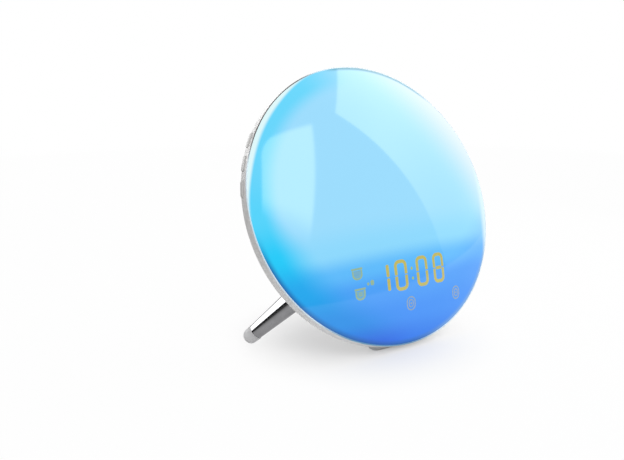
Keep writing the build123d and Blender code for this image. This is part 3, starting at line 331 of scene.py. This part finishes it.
def colour_steps(tree, factor, steps):
    """A smooth ramp of colours, given as (place, colour) from 0 to 1."""
    ramp = tree.nodes.new("ShaderNodeValToRGB")
    ramp.color_ramp.interpolation = "EASE"
    elements = ramp.color_ramp.elements
    elements[0].position, elements[-1].position = steps[0][0], steps[-1][0]
    for place, _ in steps[1:-1]:
        elements.new(place)
    for element, (_, colour) in zip(elements, steps):
        element.color = (*colour, 1)
    tree.links.new(factor, ramp.inputs["Fac"])
    return ramp.outputs["Color"]


def mixed(tree, factor, first, second):
    """Two colours mixed by a factor; each may be a socket or a plain colour."""
    mix = tree.nodes.new("ShaderNodeMix")
    mix.data_type = "RGBA"
    for socket, value in zip((0, 6, 7), (factor, first, second)):  # the sockets that colours use
        feed(tree, mix.inputs[socket], value)
    return mix.outputs[2]


def screen(red, green, blue):
    """A colour as a screen shows it, from 0 to 255, in the renderer's own values."""
    parts = (red, green, blue)
    return tuple(((c / 255 + 0.055) / 1.055) ** 2.4 if c > 10 else c / 3295 for c in parts)


dome_radius = 0.095
opal, tree, shader = new_finish("lit_opal", (0.015, 0.03, 0.06), 0.06)
height = reshaped(tree, along(tree, face_up), -dome_radius, dome_radius, curve="LINEAR")
middle_glow = colour_steps(tree, height, [
    (0.00, screen(0, 102, 228)),
    (0.10, screen(54, 142, 244)),
    (0.20, screen(70, 158, 246)),
    (0.27, screen(90, 186, 250)),
    (0.34, screen(140, 217, 252)),
    (0.45, screen(155, 221, 252)),
    (0.80, screen(156, 221, 252)),
    (1.00, screen(158, 222, 252)),
])
edge_glow = colour_steps(tree, height, [
    (0.00, screen(0, 76, 214)),
    (0.12, screen(0, 140, 228)),
    (0.24, screen(0, 166, 236)),
    (0.36, screen(0, 202, 248)),
    (0.50, screen(78, 212, 250)),
    (0.66, screen(98, 213, 250)),
    (1.00, screen(100, 215, 250)),
])
off_middle = off_axis(tree)
left_side = towards(tree, 1.0, 0.0, 0.005, -0.04)
edge_start = reshaped(tree, height, 0.35, 0.5, 0.066, 0.076)
edge_near = reshaped(tree, off_middle, edge_start, 0.088)
edge_share = calculated(tree, "MULTIPLY", edge_near, left_side)
glow = mixed(tree, edge_share, middle_glow, edge_glow)
# Painted shade: the glow is deeper blue towards the lower right.
lower_right_shade = towards(tree, 0.6, -0.8, 0.058, 0.082, most=0.35)
glow = mixed(tree, lower_right_shade, glow, screen(40, 140, 240))

# It is whitest where its edge shows a painted reflection of the room: at the upper right, and in
# narrow rims at the upper left and the right. A thin dark line of painted shade shows where the
# edge meets the ring, at the top and in the lower half. Each reach is where a rim or line starts
# and is full, off the dome's middle.
highlight_rim_reach = (0.0905, 0.0933)
top_shade_line_reach = (0.0922, 0.0942)
lower_shade_line_reach = (0.0912, 0.0958)
# Painted reflection of the room: the glow turns whiter towards the upper right.
glow = mixed(tree, towards(tree, 0.85, 0.53, 0.05, 0.10), glow, screen(205, 219, 232))
# Painted highlight: a narrow white rim on the edge at the upper left.
rim_taper = towards(tree, -0.8, 0.6, 0.078, 0.0925, 0.003, 0.0)
painted_highlight_rim = reshaped(tree, calculated(tree, "SUBTRACT", off_middle, rim_taper), *highlight_rim_reach)
upper_left = towards(tree, -0.8, 0.6, 0.074, 0.082)
glow = mixed(tree, calculated(tree, "MULTIPLY", painted_highlight_rim, upper_left), glow, screen(225, 250, 250))
# Painted shade: a thin dark line at the top, where the edge meets the ring.
top = towards(tree, 0.31, 0.95, 0.082, 0.090)
top_shade_line = calculated(tree, "MULTIPLY", reshaped(tree, off_middle, *top_shade_line_reach), top)
glow = mixed(tree, top_shade_line, glow, screen(84, 158, 176))
# Painted shade: a thin dark line round the lower half where the edge meets the ring, paler at the
# right.
lower_half = towards(tree, 0.0, 1.0, -0.005, -0.035)
lower_shade_line = calculated(tree, "MULTIPLY", reshaped(tree, off_middle, *lower_shade_line_reach), lower_half)
right_side = towards(tree, 1.0, 0.0, 0.0, 0.04)
shade_line_blue = mixed(tree, right_side, screen(0, 84, 158), screen(120, 165, 215))
glow = mixed(tree, lower_shade_line, glow, shade_line_blue)
# Painted reflection: a pale rim along the right edge.
right_rim_reflection = towards(tree, 0.985, -0.17, 0.0865, 0.093)
glow = mixed(tree, right_rim_reflection, glow, screen(205, 232, 246))
tree.links.new(glow, shader.inputs["Emission Color"])
shader.inputs["Emission Strength"].default_value = 0.95


def merged_copy(name):
    """A CAD node's mesh with its doubles merged."""
    shape = bmesh.new()
    shape.from_mesh(nodes[name].data)
    bmesh.ops.remove_doubles(shape, verts=shape.verts, dist=1e-7)
    bmesh.ops.dissolve_degenerate(shape, edges=shape.edges, dist=1e-8)
    return shape


def add_piece(name, shape, body, finish, smooth=30):
    """Makes a mesh object of a shape, which rides on a body."""
    data = bpy.data.meshes.new(name)
    shape.to_mesh(data)
    shape.free()
    data.materials.append(finish)
    data.shade_smooth()
    data.set_sharp_from_angle(angle=radians(smooth))
    piece = bpy.data.objects.new(name, data)
    bpy.context.collection.objects.link(piece)
    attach(piece, body)
    return piece


ball_slack = 0.00004  # how far off a ball a corner on it may lie
ball_facing = 0.9  # how nearly a face on it points straight out


def shade_as_ball(data, middle, radius):
    """Turns the normals of the faces that lie on a ball to the ball's own."""
    on_ball = [abs((v.co - middle).length - radius) < ball_slack for v in data.vertices]
    normals = [tuple(corner.vector) for corner in data.corner_normals]
    for face in data.polygons:
        out = (face.center - middle).normalized()
        if all(on_ball[i] for i in face.vertices) and face.normal.dot(out) > ball_facing:
            for corner in face.loop_indices:
                place = data.vertices[data.loops[corner].vertex_index].co
                normals[corner] = tuple((place - middle).normalized())
    data.normals_split_custom_set(normals)


dome_rise = 19.0
dome_ball = ((dome_radius / mm) ** 2 + dome_rise**2) / (2 * dome_rise)
opal_dome = add_piece("opal_dome", merged_copy("front_diffuser"), "clock", opal)
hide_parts("front_diffuser")
shade_as_ball(opal_dome.data, face_point(0, 0, dome_rise - dome_ball), dome_ball * mm)

# ---------------------------------------------------------------- digits and signs
# Segments of light under the opal dome. Each shows as a sharp patch on its surface: the digits in
# amber, and the small signs beside and under them dimmer, in grey green.
patch_lift = 0.015
patch_thickness = 0.035
patch_step = 2.5  # a patch is divided this finely, so that it follows the dome


def box_corner(point, width, height):
    """Moves a point of a small circle outwards to a corner of a box."""
    across = width if point.x > 0 else -width
    up = height if point.y > 0 else -height
    return Vector((point.x + across, point.y + up, 0))


def rounded_outline(across, up, width, height, corner, stroke=0.0, corner_parts=8):
    """A flat rounded box on the face, in millimetres; with a stroke it is only an outline."""
    shape = bmesh.new()
    turn = Matrix.Rotation(pi / corner_parts / 4, 4, "Z")
    bmesh.ops.create_circle(shape, cap_ends=True, segments=corner_parts * 4, radius=corner,
                            matrix=turn)
    for vert in shape.verts:
        vert.co = box_corner(vert.co, width / 2 - corner, height / 2 - corner)
    if stroke:
        inner = bmesh.ops.inset_region(shape, faces=list(shape.faces), thickness=stroke,
                                       use_even_offset=True, use_boundary=True)
        rim = set(inner["faces"])
        bmesh.ops.delete(shape, geom=[f for f in shape.faces if f not in rim], context="FACES_ONLY")
    bmesh.ops.translate(shape, verts=shape.verts, vec=(across, up, 0))
    return shape


def small_mark(across, up, width, height, corner):
    """A small filled box, whose corners need few steps."""
    return rounded_outline(across, up, width, height, corner, corner_parts=3)


def divided(shape, place, direction):
    """Cuts the faces of a flat shape in two along a line."""
    bmesh.ops.bisect_plane(shape, geom=shape.verts[:] + shape.edges[:] + shape.faces[:],
                           plane_co=place, plane_no=direction)


def cut_gap(shape, level, width):
    """Removes a level gap from a flat shape."""
    for side in (1, -1):
        divided(shape, Vector((0, level + side * width / 2, 0)), Vector((0, 1, 0)))
    doomed = [f for f in shape.faces if abs(f.calc_center_median().y - level) < width / 2]
    bmesh.ops.delete(shape, geom=doomed, context="FACES")


def joined(shapes):
    """Several flat shapes in one mesh."""
    whole = bmesh.new()
    for shape in shapes:
        part = bpy.data.meshes.new("part")
        shape.to_mesh(part)
        shape.free()
        whole.from_mesh(part)
        bpy.data.meshes.remove(part)
    return whole


def thickened(shapes):
    """Joins flat shapes into one closed shape with two sides, divided so that it can follow a ball.
    Returns the shape and the corners of its upper side."""
    shape = joined(shapes)
    for direction in (Vector((1, 0, 0)), Vector((0, 1, 0))):
        places = [v.co.dot(direction) for v in shape.verts]
        place = min(places) + patch_step
        while place < max(places):
            divided(shape, direction * place, direction)
            place += patch_step
    bmesh.ops.recalc_face_normals(shape, faces=shape.faces)
    for face in shape.faces:
        if face.normal.z < 0:
            face.normal_flip()
    thick = bmesh.ops.extrude_face_region(shape, geom=shape.faces[:], use_keep_orig=True)
    return shape, {v for v in thick["geom"] if isinstance(v, bmesh.types.BMVert)}


def light_patch(name, shapes, finish):
    """Lays flat shapes on the dome as one thin patch of light."""
    shape, upper = thickened(shapes)
    for vert in shape.verts:
        lift = patch_lift + (patch_thickness if vert in upper else 0)
        out = sqrt((dome_ball + lift) ** 2 - vert.co.x**2 - vert.co.y**2) + dome_rise - dome_ball
        vert.co = face_point(vert.co.x, vert.co.y, out)
    bmesh.ops.recalc_face_normals(shape, faces=shape.faces)
    add_piece(name, shape, "clock", finish)


def clouds(tree, scale, detail):
    """Uneven clouds through a material, from 0 to 1; the larger the scale, the finer."""
    place = tree.nodes.new("ShaderNodeTexCoord")
    cloud = tree.nodes.new("ShaderNodeTexNoise")
    cloud.inputs["Scale"].default_value = scale
    cloud.inputs["Detail"].default_value = detail
    tree.links.new(place.outputs["Object"], cloud.inputs["Vector"])
    return cloud.outputs["Fac"]


most_clouds = (0.3, 0.7)  # nearly all of a cloud's values lie in this range
middle_clouds = (0.35, 0.65)  # and most in this one


def glowing(name, colour, strength, deeper):
    """Light through opal plastic, which mottles it with a deeper colour."""
    finish, tree, shader = new_finish(name, (0.05, 0.05, 0.05), 0.08)
    mottle = reshaped(tree, clouds(tree, 900, 3), *most_clouds)
    tree.links.new(mixed(tree, mottle, colour, deeper), shader.inputs["Emission Color"])
    shader.inputs["Emission Strength"].default_value = strength
    return finish


amber_light = glowing("amber_light", screen(194, 186, 76), 0.95, screen(184, 174, 92))
colon_amber = glowing("colon_amber", screen(176, 190, 96), 0.95, screen(140, 190, 130))
sign_light = glowing("sign_light", screen(158, 186, 140), 0.9, screen(136, 180, 160))
filling_light = glowing("filling_light", screen(118, 178, 200), 0.9, screen(104, 172, 208))
touch_light = glowing("touch_light", screen(148, 166, 190), 0.9, screen(122, 158, 184))

digit_height = 19.6
digit_width = 10.2
digit_corner = 3.9
digit_stroke = 2.2
digit_level = -51.6
digit_gap = 0.7
bar_gap = 0.6  # both ends of an eight's bar together stay this far from its ring
one_stroke = 2.4
one_short = 1.2  # how much shorter each stroke of a one is than half a nought


def digit(across, bar=False):
    """A nought, or an eight where it has a bar across."""
    ring = rounded_outline(across, digit_level, digit_width, digit_height, digit_corner,
                           digit_stroke)
    cut_gap(ring, digit_level, digit_gap)
    shapes = [ring]
    if bar:
        bar_width = digit_width - 2 * digit_stroke - bar_gap
        shapes.append(small_mark(across, digit_level, bar_width, digit_stroke, 0.9))
    return shapes


def one(across):
    """The two strokes of a one."""
    length = digit_height / 2 - digit_gap - one_short
    levels = [digit_level + side * (length + digit_gap) / 2 for side in (-1, 1)]
    return [small_mark(across, level, one_stroke, length, 1.1) for level in levels]


light_patch("digit_light_1", one(-15.0), amber_light)
light_patch("digit_light_2", digit(-4.7), amber_light)
light_patch("digit_light_3", digit(13.0), amber_light)
light_patch("digit_light_4", digit(28.1, bar=True), amber_light)
colon = [small_mark(4.2, -48.6, 1.6, 2.0, 0.7), small_mark(4.4, -55.0, 1.6, 2.0, 0.7)]
light_patch("colon_light", colon, colon_amber)

sign_height = 8.6
sign_bar = 1.3


def sign_body(across, level):
    """The dim filling of a small alarm clock."""
    filling = rounded_outline(across, level, 4.8, sign_height - 2.4, 2.2)
    cut_gap(filling, level + sign_height / 2, 4.4 * sign_bar)
    return filling


def alarm_sign(across, level, dot=False):
    """A small alarm clock: a flat bar with a body under it that is round at the bottom."""
    body = rounded_outline(across, level, 7.2, sign_height, 3.4, 1.1)
    cut_gap(body, level + sign_height / 2, 4 * sign_bar)
    bar_level = level + sign_height / 2 - 1.4 * sign_bar
    shapes = [body, small_mark(across, bar_level, 7.9, sign_bar, 0.5)]
    if dot:
        shapes.append(small_mark(across, level - 0.6, 2.2, 2.4, 1.0))
    return shapes


first_sign = (-36.9, -44.8)
second_sign = (-36.2, -57.4)
light_patch("alarm_filling_1", [sign_body(*first_sign)], filling_light)
light_patch("alarm_filling_2", [sign_body(*second_sign)], filling_light)
light_patch("alarm_sign_1", alarm_sign(*first_sign), sign_light)
light_patch("alarm_sign_2", alarm_sign(*second_sign, dot=True), sign_light)
mark = [small_mark(-30.2, -52.7, 1.6, 2.0, 0.7), small_mark(-27.2, -52.4, 2.6, 3.4, 1.1)]
light_patch("alarm_mark", mark, sign_light)


def touch_sign(across, level):
    """A round touch key: two rings round a dot."""
    return [
        rounded_outline(across, level, 7.4, 9.0, 3.6, 0.85),
        rounded_outline(across, level, 4.1, 5.2, 1.95, 0.75),
        small_mark(across, level, 1.3, 1.5, 0.6),
    ]


light_patch("touch_sign_1", touch_sign(1.2, -70.5), touch_light)
light_patch("touch_sign_2", touch_sign(43.6, -70.2), touch_light)

# ---------------------------------------------------------------- trim ring
# A satin moulding of pale plastic. Its lip round the dome glows a little with the dome's blue, a
# painted light, except at the upper left. Painted shade turns the lip blue grey at the bottom and
# dark at the upper left.


def raised(tree, shader, height, strength, distance):
    """Lets fine marks stand proud of a surface."""
    relief = tree.nodes.new("ShaderNodeBump")
    relief.inputs["Strength"].default_value = strength
    relief.inputs["Distance"].default_value = distance
    tree.links.new(height, relief.inputs["Height"])
    tree.links.new(relief.outputs["Normal"], shader.inputs["Normal"])


def tinted(tree, shader, share, colour, shade):
    """Lets a share of a surface have its full colour, and the rest a shade of it."""
    darker = tuple(c * shade for c in colour)
    tree.links.new(mixed(tree, share, darker, colour), shader.inputs["Base Color"])


mould_marks = 0.00005  # how high the fine marks of a mould stand
tool_marks = 0.00004  # and those of copper tracks and of turning


def moulded(name, colour, roughness, grain=0.35, shade=0.94, bump=0.05):
    """Moulded plastic: a fine even texture from the tool, and colour that drifts a little."""
    finish, tree, shader = new_finish(name, colour, roughness)
    fine = clouds(tree, 1000 / grain, 2)
    tinted(tree, shader, reshaped(tree, clouds(tree, 28, 4), *middle_clouds), colour, shade)
    spread = reshaped(tree, fine, *most_clouds, roughness - 0.05, roughness + 0.06)
    tree.links.new(spread, shader.inputs["Roughness"])
    raised(tree, shader, fine, bump, mould_marks)
    return finish


ring_white = moulded("satin_ring_white", screen(238, 237, 236), 0.34, bump=0.012)
tree = ring_white.node_tree
shader = tree.nodes["Principled BSDF"]
lip_reach = (-0.0009, -0.0001)  # the lip's depth, below the rim of the dome
unlit = (0.0, 0.0, 0.0)
at_lip = reshaped(tree, along(tree, face_out), *lip_reach)
upper_left_shade = towards(tree, -0.66, 0.75, 0.083, 0.092)
# Painted light: the lip glows with the dome's blue, except at the upper left.
painted_lip_glow = mixed(tree, upper_left_shade, screen(40, 190, 235), unlit)
tree.links.new(mixed(tree, at_lip, unlit, painted_lip_glow), shader.inputs["Emission Color"])
shader.inputs["Emission Strength"].default_value = 0.25
# Painted shade on the lip: blue grey at the bottom and dark grey at the upper left.
foot_shade = towards(tree, -0.25, -0.97, 0.082, 0.094)
band_colour_with_painted_shade = shader.inputs["Base Color"].links[0].from_socket
for place, painted_shade_colour in ((foot_shade, screen(116, 132, 156)), (upper_left_shade, screen(108, 104, 105))):
    painted_shade_share = calculated(tree, "MULTIPLY", at_lip, place)
    band_colour_with_painted_shade = mixed(tree, painted_shade_share, band_colour_with_painted_shade, painted_shade_colour)
tree.links.new(band_colour_with_painted_shade, shader.inputs["Base Color"])
dress(ring_white, "trim_ring")

# ---------------------------------------------------------------- side keys
# Five small keys in the ring's slots, each with the plunger of its switch. The switches sit on a
# board behind each row.
key_white = moulded("key_white", screen(222, 221, 219), 0.28)
switch_black = moulded("switch_black", screen(34, 34, 36), 0.4, shade=0.8)
keys = ["key_sound", "key_menu", "key_light", "key_minus", "key_plus"]
dress(key_white, *keys)
dress(switch_black, "left_key_switches", "right_key_switches", *[key + "_plunger" for key in keys])


def board_finish(name, colour, mask, pitch):
    """A circuit board: glass fibre under a varnish, with copper tracks that show through it."""
    finish, tree, shader = new_finish(name, colour, 0.35)
    place = tree.nodes.new("ShaderNodeTexCoord")
    tracks = tree.nodes.new("ShaderNodeTexBrick")
    tracks.inputs["Scale"].default_value = 1 / pitch
    tracks.inputs["Mortar Size"].default_value = 0.06
    tracks.inputs["Color1"].default_value = (0, 0, 0, 1)
    tracks.inputs["Color2"].default_value = (0.35, 0.35, 0.35, 1)
    tracks.inputs["Mortar"].default_value = (1, 1, 1, 1)
    tree.links.new(place.outputs["Object"], tracks.inputs["Vector"])
    tree.links.new(mixed(tree, tracks.outputs["Color"], colour, mask), shader.inputs["Base Color"])
    raised(tree, shader, tracks.outputs["Color"], 0.3, tool_marks)
    return finish


green_board = board_finish("green_board", screen(28, 84, 52), screen(62, 128, 74), 0.004)
dress(green_board, "left_key_board", "right_key_board")

# ---------------------------------------------------------------- rear housing
# A white moulded dome that snaps into the ring. A staggered field of shallow dimples covers it
# round the battery cover, and runs on as open holes over the speakers.
housing_white = moulded("housing_white", screen(236, 236, 235), 0.42)
ring_radius = 95.7
ring_depth = 7.5
housing_step = 0.4  # how far the housing lies inside the ring's edge
rear_edge = ring_radius - housing_step
rear_rise = 40.0
rear_ball = (rear_edge**2 + rear_rise**2) / (2 * rear_rise)
rear_middle = rear_ball - rear_rise - ring_depth  # the ball's middle, in front of the rim
dimple_radius = 1.1
dimple_flare = 0.25  # how much wider the cutter is above the surface
dimple_taper = 0.72  # the share of its width that is left at the bottom
dimple_sides = 10
dimple_depth = 0.45
dimple_pitch = 4.6
field_radius = 73.0  # the dimples reach this far from the middle
cover_clear = 32.5  # and start this far from it, round the cover
ledge_clear = -37.5  # and stay above this level, over the sockets
speaker_middle = (57.0, 3.0)
speaker_clear = 13.55  # and this far from where each speaker's own holes are
leg_middle = (58.1, -48.1)
leg_clear = 17.0  # and from each leg


def is_dimple(across, up):
    """Whether the field has a dimple here."""
    off = hypot(across, up)
    at_speaker = hypot(abs(across) - speaker_middle[0], up - speaker_middle[1]) < speaker_clear
    at_leg = hypot(abs(across) - leg_middle[0], up - leg_middle[1]) < leg_clear
    return cover_clear < off < field_radius and up > ledge_clear and not at_speaker and not at_leg


def back_level(across, up):
    """How far the back's surface lies out of the face, which is behind it and so below nought."""
    return rear_middle - sqrt(rear_ball**2 - across**2 - up**2)


def carved(name, node, cutter, body, finish):
    """A copy of a CAD node of the back with a shape cut out of it, which replaces the node."""
    bmesh.ops.recalc_face_normals(cutter, faces=cutter.faces)
    blanks = []
    for shape in (merged_copy(node), cutter):
        data = bpy.data.meshes.new("blank")
        shape.to_mesh(data)
        shape.free()
        blanks.append(bpy.data.objects.new("blank", data))
        bpy.context.collection.objects.link(blanks[-1])
    blank, tool = blanks
    cut = blank.modifiers.new("cut", "BOOLEAN")
    cut.operation = "DIFFERENCE"
    cut.solver = "EXACT"
    cut.object = tool
    bpy.context.view_layer.update()
    shape = bmesh.new()
    shape.from_object(blank, bpy.context.evaluated_depsgraph_get())
    for used in blanks:
        bpy.data.meshes.remove(used.data)
    piece = add_piece(name, shape, body, finish)
    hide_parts(node)
    shade_as_ball(piece.data, face_point(0, 0, rear_middle), rear_ball * mm)


dimples = bmesh.new()
ball_middle = face_point(0, 0, rear_middle)
row_step = dimple_pitch * sqrt(3) / 2
row_count = int(field_radius / row_step) + 1
for row in range(-row_count, row_count + 1):
    for column in range(-row_count, row_count + 1):
        across, up = (column + (row % 2) / 2) * dimple_pitch, row * row_step
        if not is_dimple(across, up):
            continue
        inward = (ball_middle - face_point(across, up, back_level(across, up))).normalized()
        place = Matrix.Translation(ball_middle - inward * (rear_ball * mm))
        turn = inward.to_track_quat("Z", "Y").to_matrix().to_4x4()
        bmesh.ops.create_cone(dimples, cap_ends=True, segments=dimple_sides, matrix=place @ turn,
                              radius1=(dimple_radius + dimple_flare) * mm,
                              radius2=dimple_radius * dimple_taper * mm,
                              depth=2 * dimple_depth * mm)
carved("dimpled_housing", "rear_housing", dimples, "clock", housing_white)

# ---------------------------------------------------------------- battery cover
# A round cap that turns 30 degrees to open, in the housing's plastic. Under it a coin cell sits
# in a black holder on a sprung contact strip. A coin slot crosses the cap, with a round mark beside
# it, and both are as deep at their ends as in the middle.
cover_white = moulded("cover_white", screen(234, 234, 233), 0.38)
slot_depth = 1.7
slot_width = 2.4
slot_length = 32.2
slot_place = (0, 2.4)
mark_place = (-18.6, 1.2)
slot_marks, sunk = thickened([
    rounded_outline(*slot_place, slot_length, slot_width, slot_width / 2),
    rounded_outline(*mark_place, slot_width, slot_width, slot_width / 2),
])
for vert in slot_marks.verts:
    level = back_level(vert.co.x, vert.co.y) + (slot_depth if vert in sunk else -slot_depth)
    vert.co = face_point(vert.co.x, vert.co.y, level)
carved("slotted_cover", "battery_cover", slot_marks, "battery_door", cover_white)
dress(switch_black, "battery_holder")


def turned_metal(name, colour, roughness, pitch, direction, strength=0.06):
    """Metal with the fine marks of turning or drawing, which run round a direction."""
    finish, tree, shader = new_finish(name, colour, roughness, 1.0)
    place = tree.nodes.new("ShaderNodeTexCoord")
    length = tree.nodes.new("ShaderNodeVectorMath")
    length.operation = "DOT_PRODUCT"
    length.inputs[1].default_value = Vector(direction).normalized()
    tree.links.new(place.outputs["Object"], length.inputs[0])
    marks = tree.nodes.new("ShaderNodeTexNoise")
    marks.noise_dimensions = "1D"
    marks.inputs["Scale"].default_value = 1 / pitch
    marks.inputs["Detail"].default_value = 5
    tree.links.new(length.outputs["Value"], marks.inputs["W"])
    tinted(tree, shader, reshaped(tree, clouds(tree, 90, 2), *middle_clouds), colour, 0.88)
    spread = reshaped(tree, marks.outputs["Fac"], *most_clouds, roughness * 0.7, roughness * 1.4)
    tree.links.new(spread, shader.inputs["Roughness"])
    raised(tree, shader, marks.outputs["Fac"], strength, tool_marks)
    return finish


cell_steel = turned_metal("cell_steel", screen(190, 191, 192), 0.22, 0.0004, face_across)
dress(cell_steel, "coin_cell", "battery_contact")

# ---------------------------------------------------------------- sockets
# A flat charging socket in a folded steel shell and a round power socket, on a board of their own
# under the ledge at the back.
socket_steel = turned_metal("socket_steel", screen(186, 187, 190), 0.3, 0.0003, face_across)
tongue_white = moulded("tongue_white", screen(225, 225, 222), 0.4)
brass = turned_metal("brass", screen(214, 178, 102), 0.25, 0.0003, face_out)
dress(socket_steel, "usb_socket")
dress(tongue_white, "usb_tongue")
dress(switch_black, "dc_jack")
dress(brass, "dc_pin")
dress(green_board, "port_board")

# ---------------------------------------------------------------- legs
# Two tapered steel legs, turned and polished. Each screws onto a threaded stud, which is held in a
# brass insert in the housing.
leg_steel = turned_metal("polished_leg_steel", (0.33, 0.33, 0.34), 0.07, 0.0012, face_up, 0.01)
stud_steel = turned_metal("stud_steel", screen(170, 171, 174), 0.3, 0.0005, face_out)
dress(leg_steel, "left_leg", "right_leg")
dress(stud_steel, "left_leg_stud", "right_leg_stud")
dress(brass, "left_leg_insert", "right_leg_insert")

# ---------------------------------------------------------------- leg boots
# A boot of pale grey rubber is pushed over the end of each leg: a ball end, a thin cuff round the
# steel, and a plug in the leg's bore. It is worn flat where it stands.
tip_radius = 4.85
cuff_length = 4.4
cuff_wall = 0.3
cuff_gap = 0.02
plug_radius = 3.35
plug_length = 8.0
leg_taper = radians(3.6)
leg_splay = radians(42.3)
leg_swing = radians(37.2)
boot_sides = 40
ball_steps = 10


def rubber(name, colour, roughness):
    """Soft rubber: matt, with a fine pebbled skin and a little dust in it."""
    finish = moulded(name, colour, roughness, grain=0.25, shade=0.86, bump=0.2)
    shader = finish.node_tree.nodes["Principled BSDF"]
    shader.inputs["Specular IOR Level"].default_value = 0.35
    shader.inputs["Sheen Weight"].default_value = 0.15
    return finish


def leg_boot(name, side):
    """A boot turned about the leg's axis; side is -1 on the left and 1 on the right."""
    steel_edge = tip_radius + cuff_length * tan(leg_taper) + cuff_gap
    profile = [
        (0, -plug_length),
        (plug_radius, -plug_length),
        (plug_radius, cuff_gap),
        (tip_radius + cuff_gap, cuff_gap),
        (steel_edge, -cuff_length),
        (steel_edge + cuff_wall * 0.6, -cuff_length - cuff_wall * 0.3),
        (steel_edge + cuff_wall, -cuff_length + cuff_wall * 0.5),
    ]
    for step in range(ball_steps + 1):
        turn = pi / 2 * step / ball_steps
        profile.append(((tip_radius + cuff_wall) * cos(turn), tip_radius * sin(turn)))
    shape = bmesh.new()
    points = [shape.verts.new((x * mm, 0, z * mm)) for x, z in profile]
    edges = [shape.edges.new(pair) for pair in zip(points, points[1:])]
    bmesh.ops.spin(shape, geom=points + edges, cent=(0, 0, 0), axis=(0, 0, 1), angle=2 * pi,
                   steps=boot_sides, use_merge=True)
    bmesh.ops.remove_doubles(shape, verts=shape.verts, dist=1e-6)
    bmesh.ops.recalc_face_normals(shape, faces=shape.faces)
    leg_out = (face_across * (side * sin(leg_splay) * cos(leg_swing))
               - face_up * (sin(leg_splay) * sin(leg_swing)) - face_out * cos(leg_splay))
    low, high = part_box(name)
    reach = tip_radius * mm
    ball = Vector((low.x + reach if side < 0 else high.x - reach, high.y - reach, low.z + reach))
    turn = leg_out.to_track_quat("Z", "Y").to_matrix().to_4x4()
    bmesh.ops.transform(shape, matrix=Matrix.Translation(ball) @ turn, verts=shape.verts)
    for vert in shape.verts:
        vert.co.z = max(vert.co.z, 0.0)
    boot = add_piece(name.replace("tip", "boot"), shape, "clock", grey_rubber, 40)
    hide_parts(name)


grey_rubber = rubber("grey_rubber", screen(236, 236, 237), 0.45)
leg_boot("left_leg_tip", -1)
leg_boot("right_leg_tip", 1)

# ---------------------------------------------------------------- rest pad
# A moulded strip of pale grey rubber, fixed under the rim at the bottom. The clock stands on it and
# on the two legs.
pad_rubber = rubber("pad_rubber", screen(214, 214, 216), 0.5)
dress(pad_rubber, "rest_pad")

# ---------------------------------------------------------------- lamp
# Behind the dome a white moulded tray, held by screws, spreads the light of the lamps. They sit on
# a white board of their own, with a ribbon from the main board.
tray_white = moulded("tray_white", screen(240, 240, 240), 0.5)
dress(tray_white, "reflector_tray", "ribbon_plugs", "lamp_ribbon")
white_board = board_finish("white_board", screen(232, 232, 228), screen(206, 206, 198), 0.006)
dress(white_board, "led_board")
lamp_yellow = glowing("lamp_yellow", screen(235, 214, 120), 0.6, screen(220, 190, 90))
dress(lamp_yellow, "led_emitters")

# ---------------------------------------------------------------- display
# A black light frame with clear segments and signs over the display board, and two guides over
# the touch board.
frame_black = moulded("frame_black", screen(26, 26, 28), 0.5, shade=0.8)
segment_amber = moulded("segment_amber", screen(214, 178, 66), 0.3)
sign_grey = moulded("sign_grey", screen(170, 190, 178), 0.3)
dress(frame_black, "display_frame")
dress(segment_amber, "display_segments")
dress(sign_grey, "display_icons", "touch_guides")
dress(green_board, "display_board", "touch_board")

# ---------------------------------------------------------------- main board
# The main board on four posts, with its chips and capacitors, and the screws that hold the clock
# together.
chip_black = moulded("chip_black", screen(40, 40, 42), 0.45, shade=0.75)
screw_steel = turned_metal("screw_steel", screen(160, 161, 164), 0.3, 0.0005, face_out)
dress(green_board, "main_board")
dress(chip_black, "board_parts")
dress(screw_steel, "tray_screws", "housing_screws", "board_screws")

# ---------------------------------------------------------------- speakers
# Two small speakers face out through the holes: a foam gasket, a steel frame, a magnet and a
# paper cone each.
gasket_foam = rubber("gasket_foam", screen(50, 50, 52), 0.85)
frame_steel = turned_metal("frame_steel", screen(120, 121, 124), 0.4, 0.0006, face_out)
ferrite = moulded("ferrite", screen(58, 58, 62), 0.6, shade=0.8)
cone_paper = rubber("cone_paper", screen(44, 43, 42), 0.9)
for side in ("left", "right"):
    dress(gasket_foam, side + "_speaker_gasket")
    dress(frame_steel, side + "_speaker_frame")
    dress(ferrite, side + "_speaker_magnet")
    dress(cone_paper, side + "_speaker_cone")
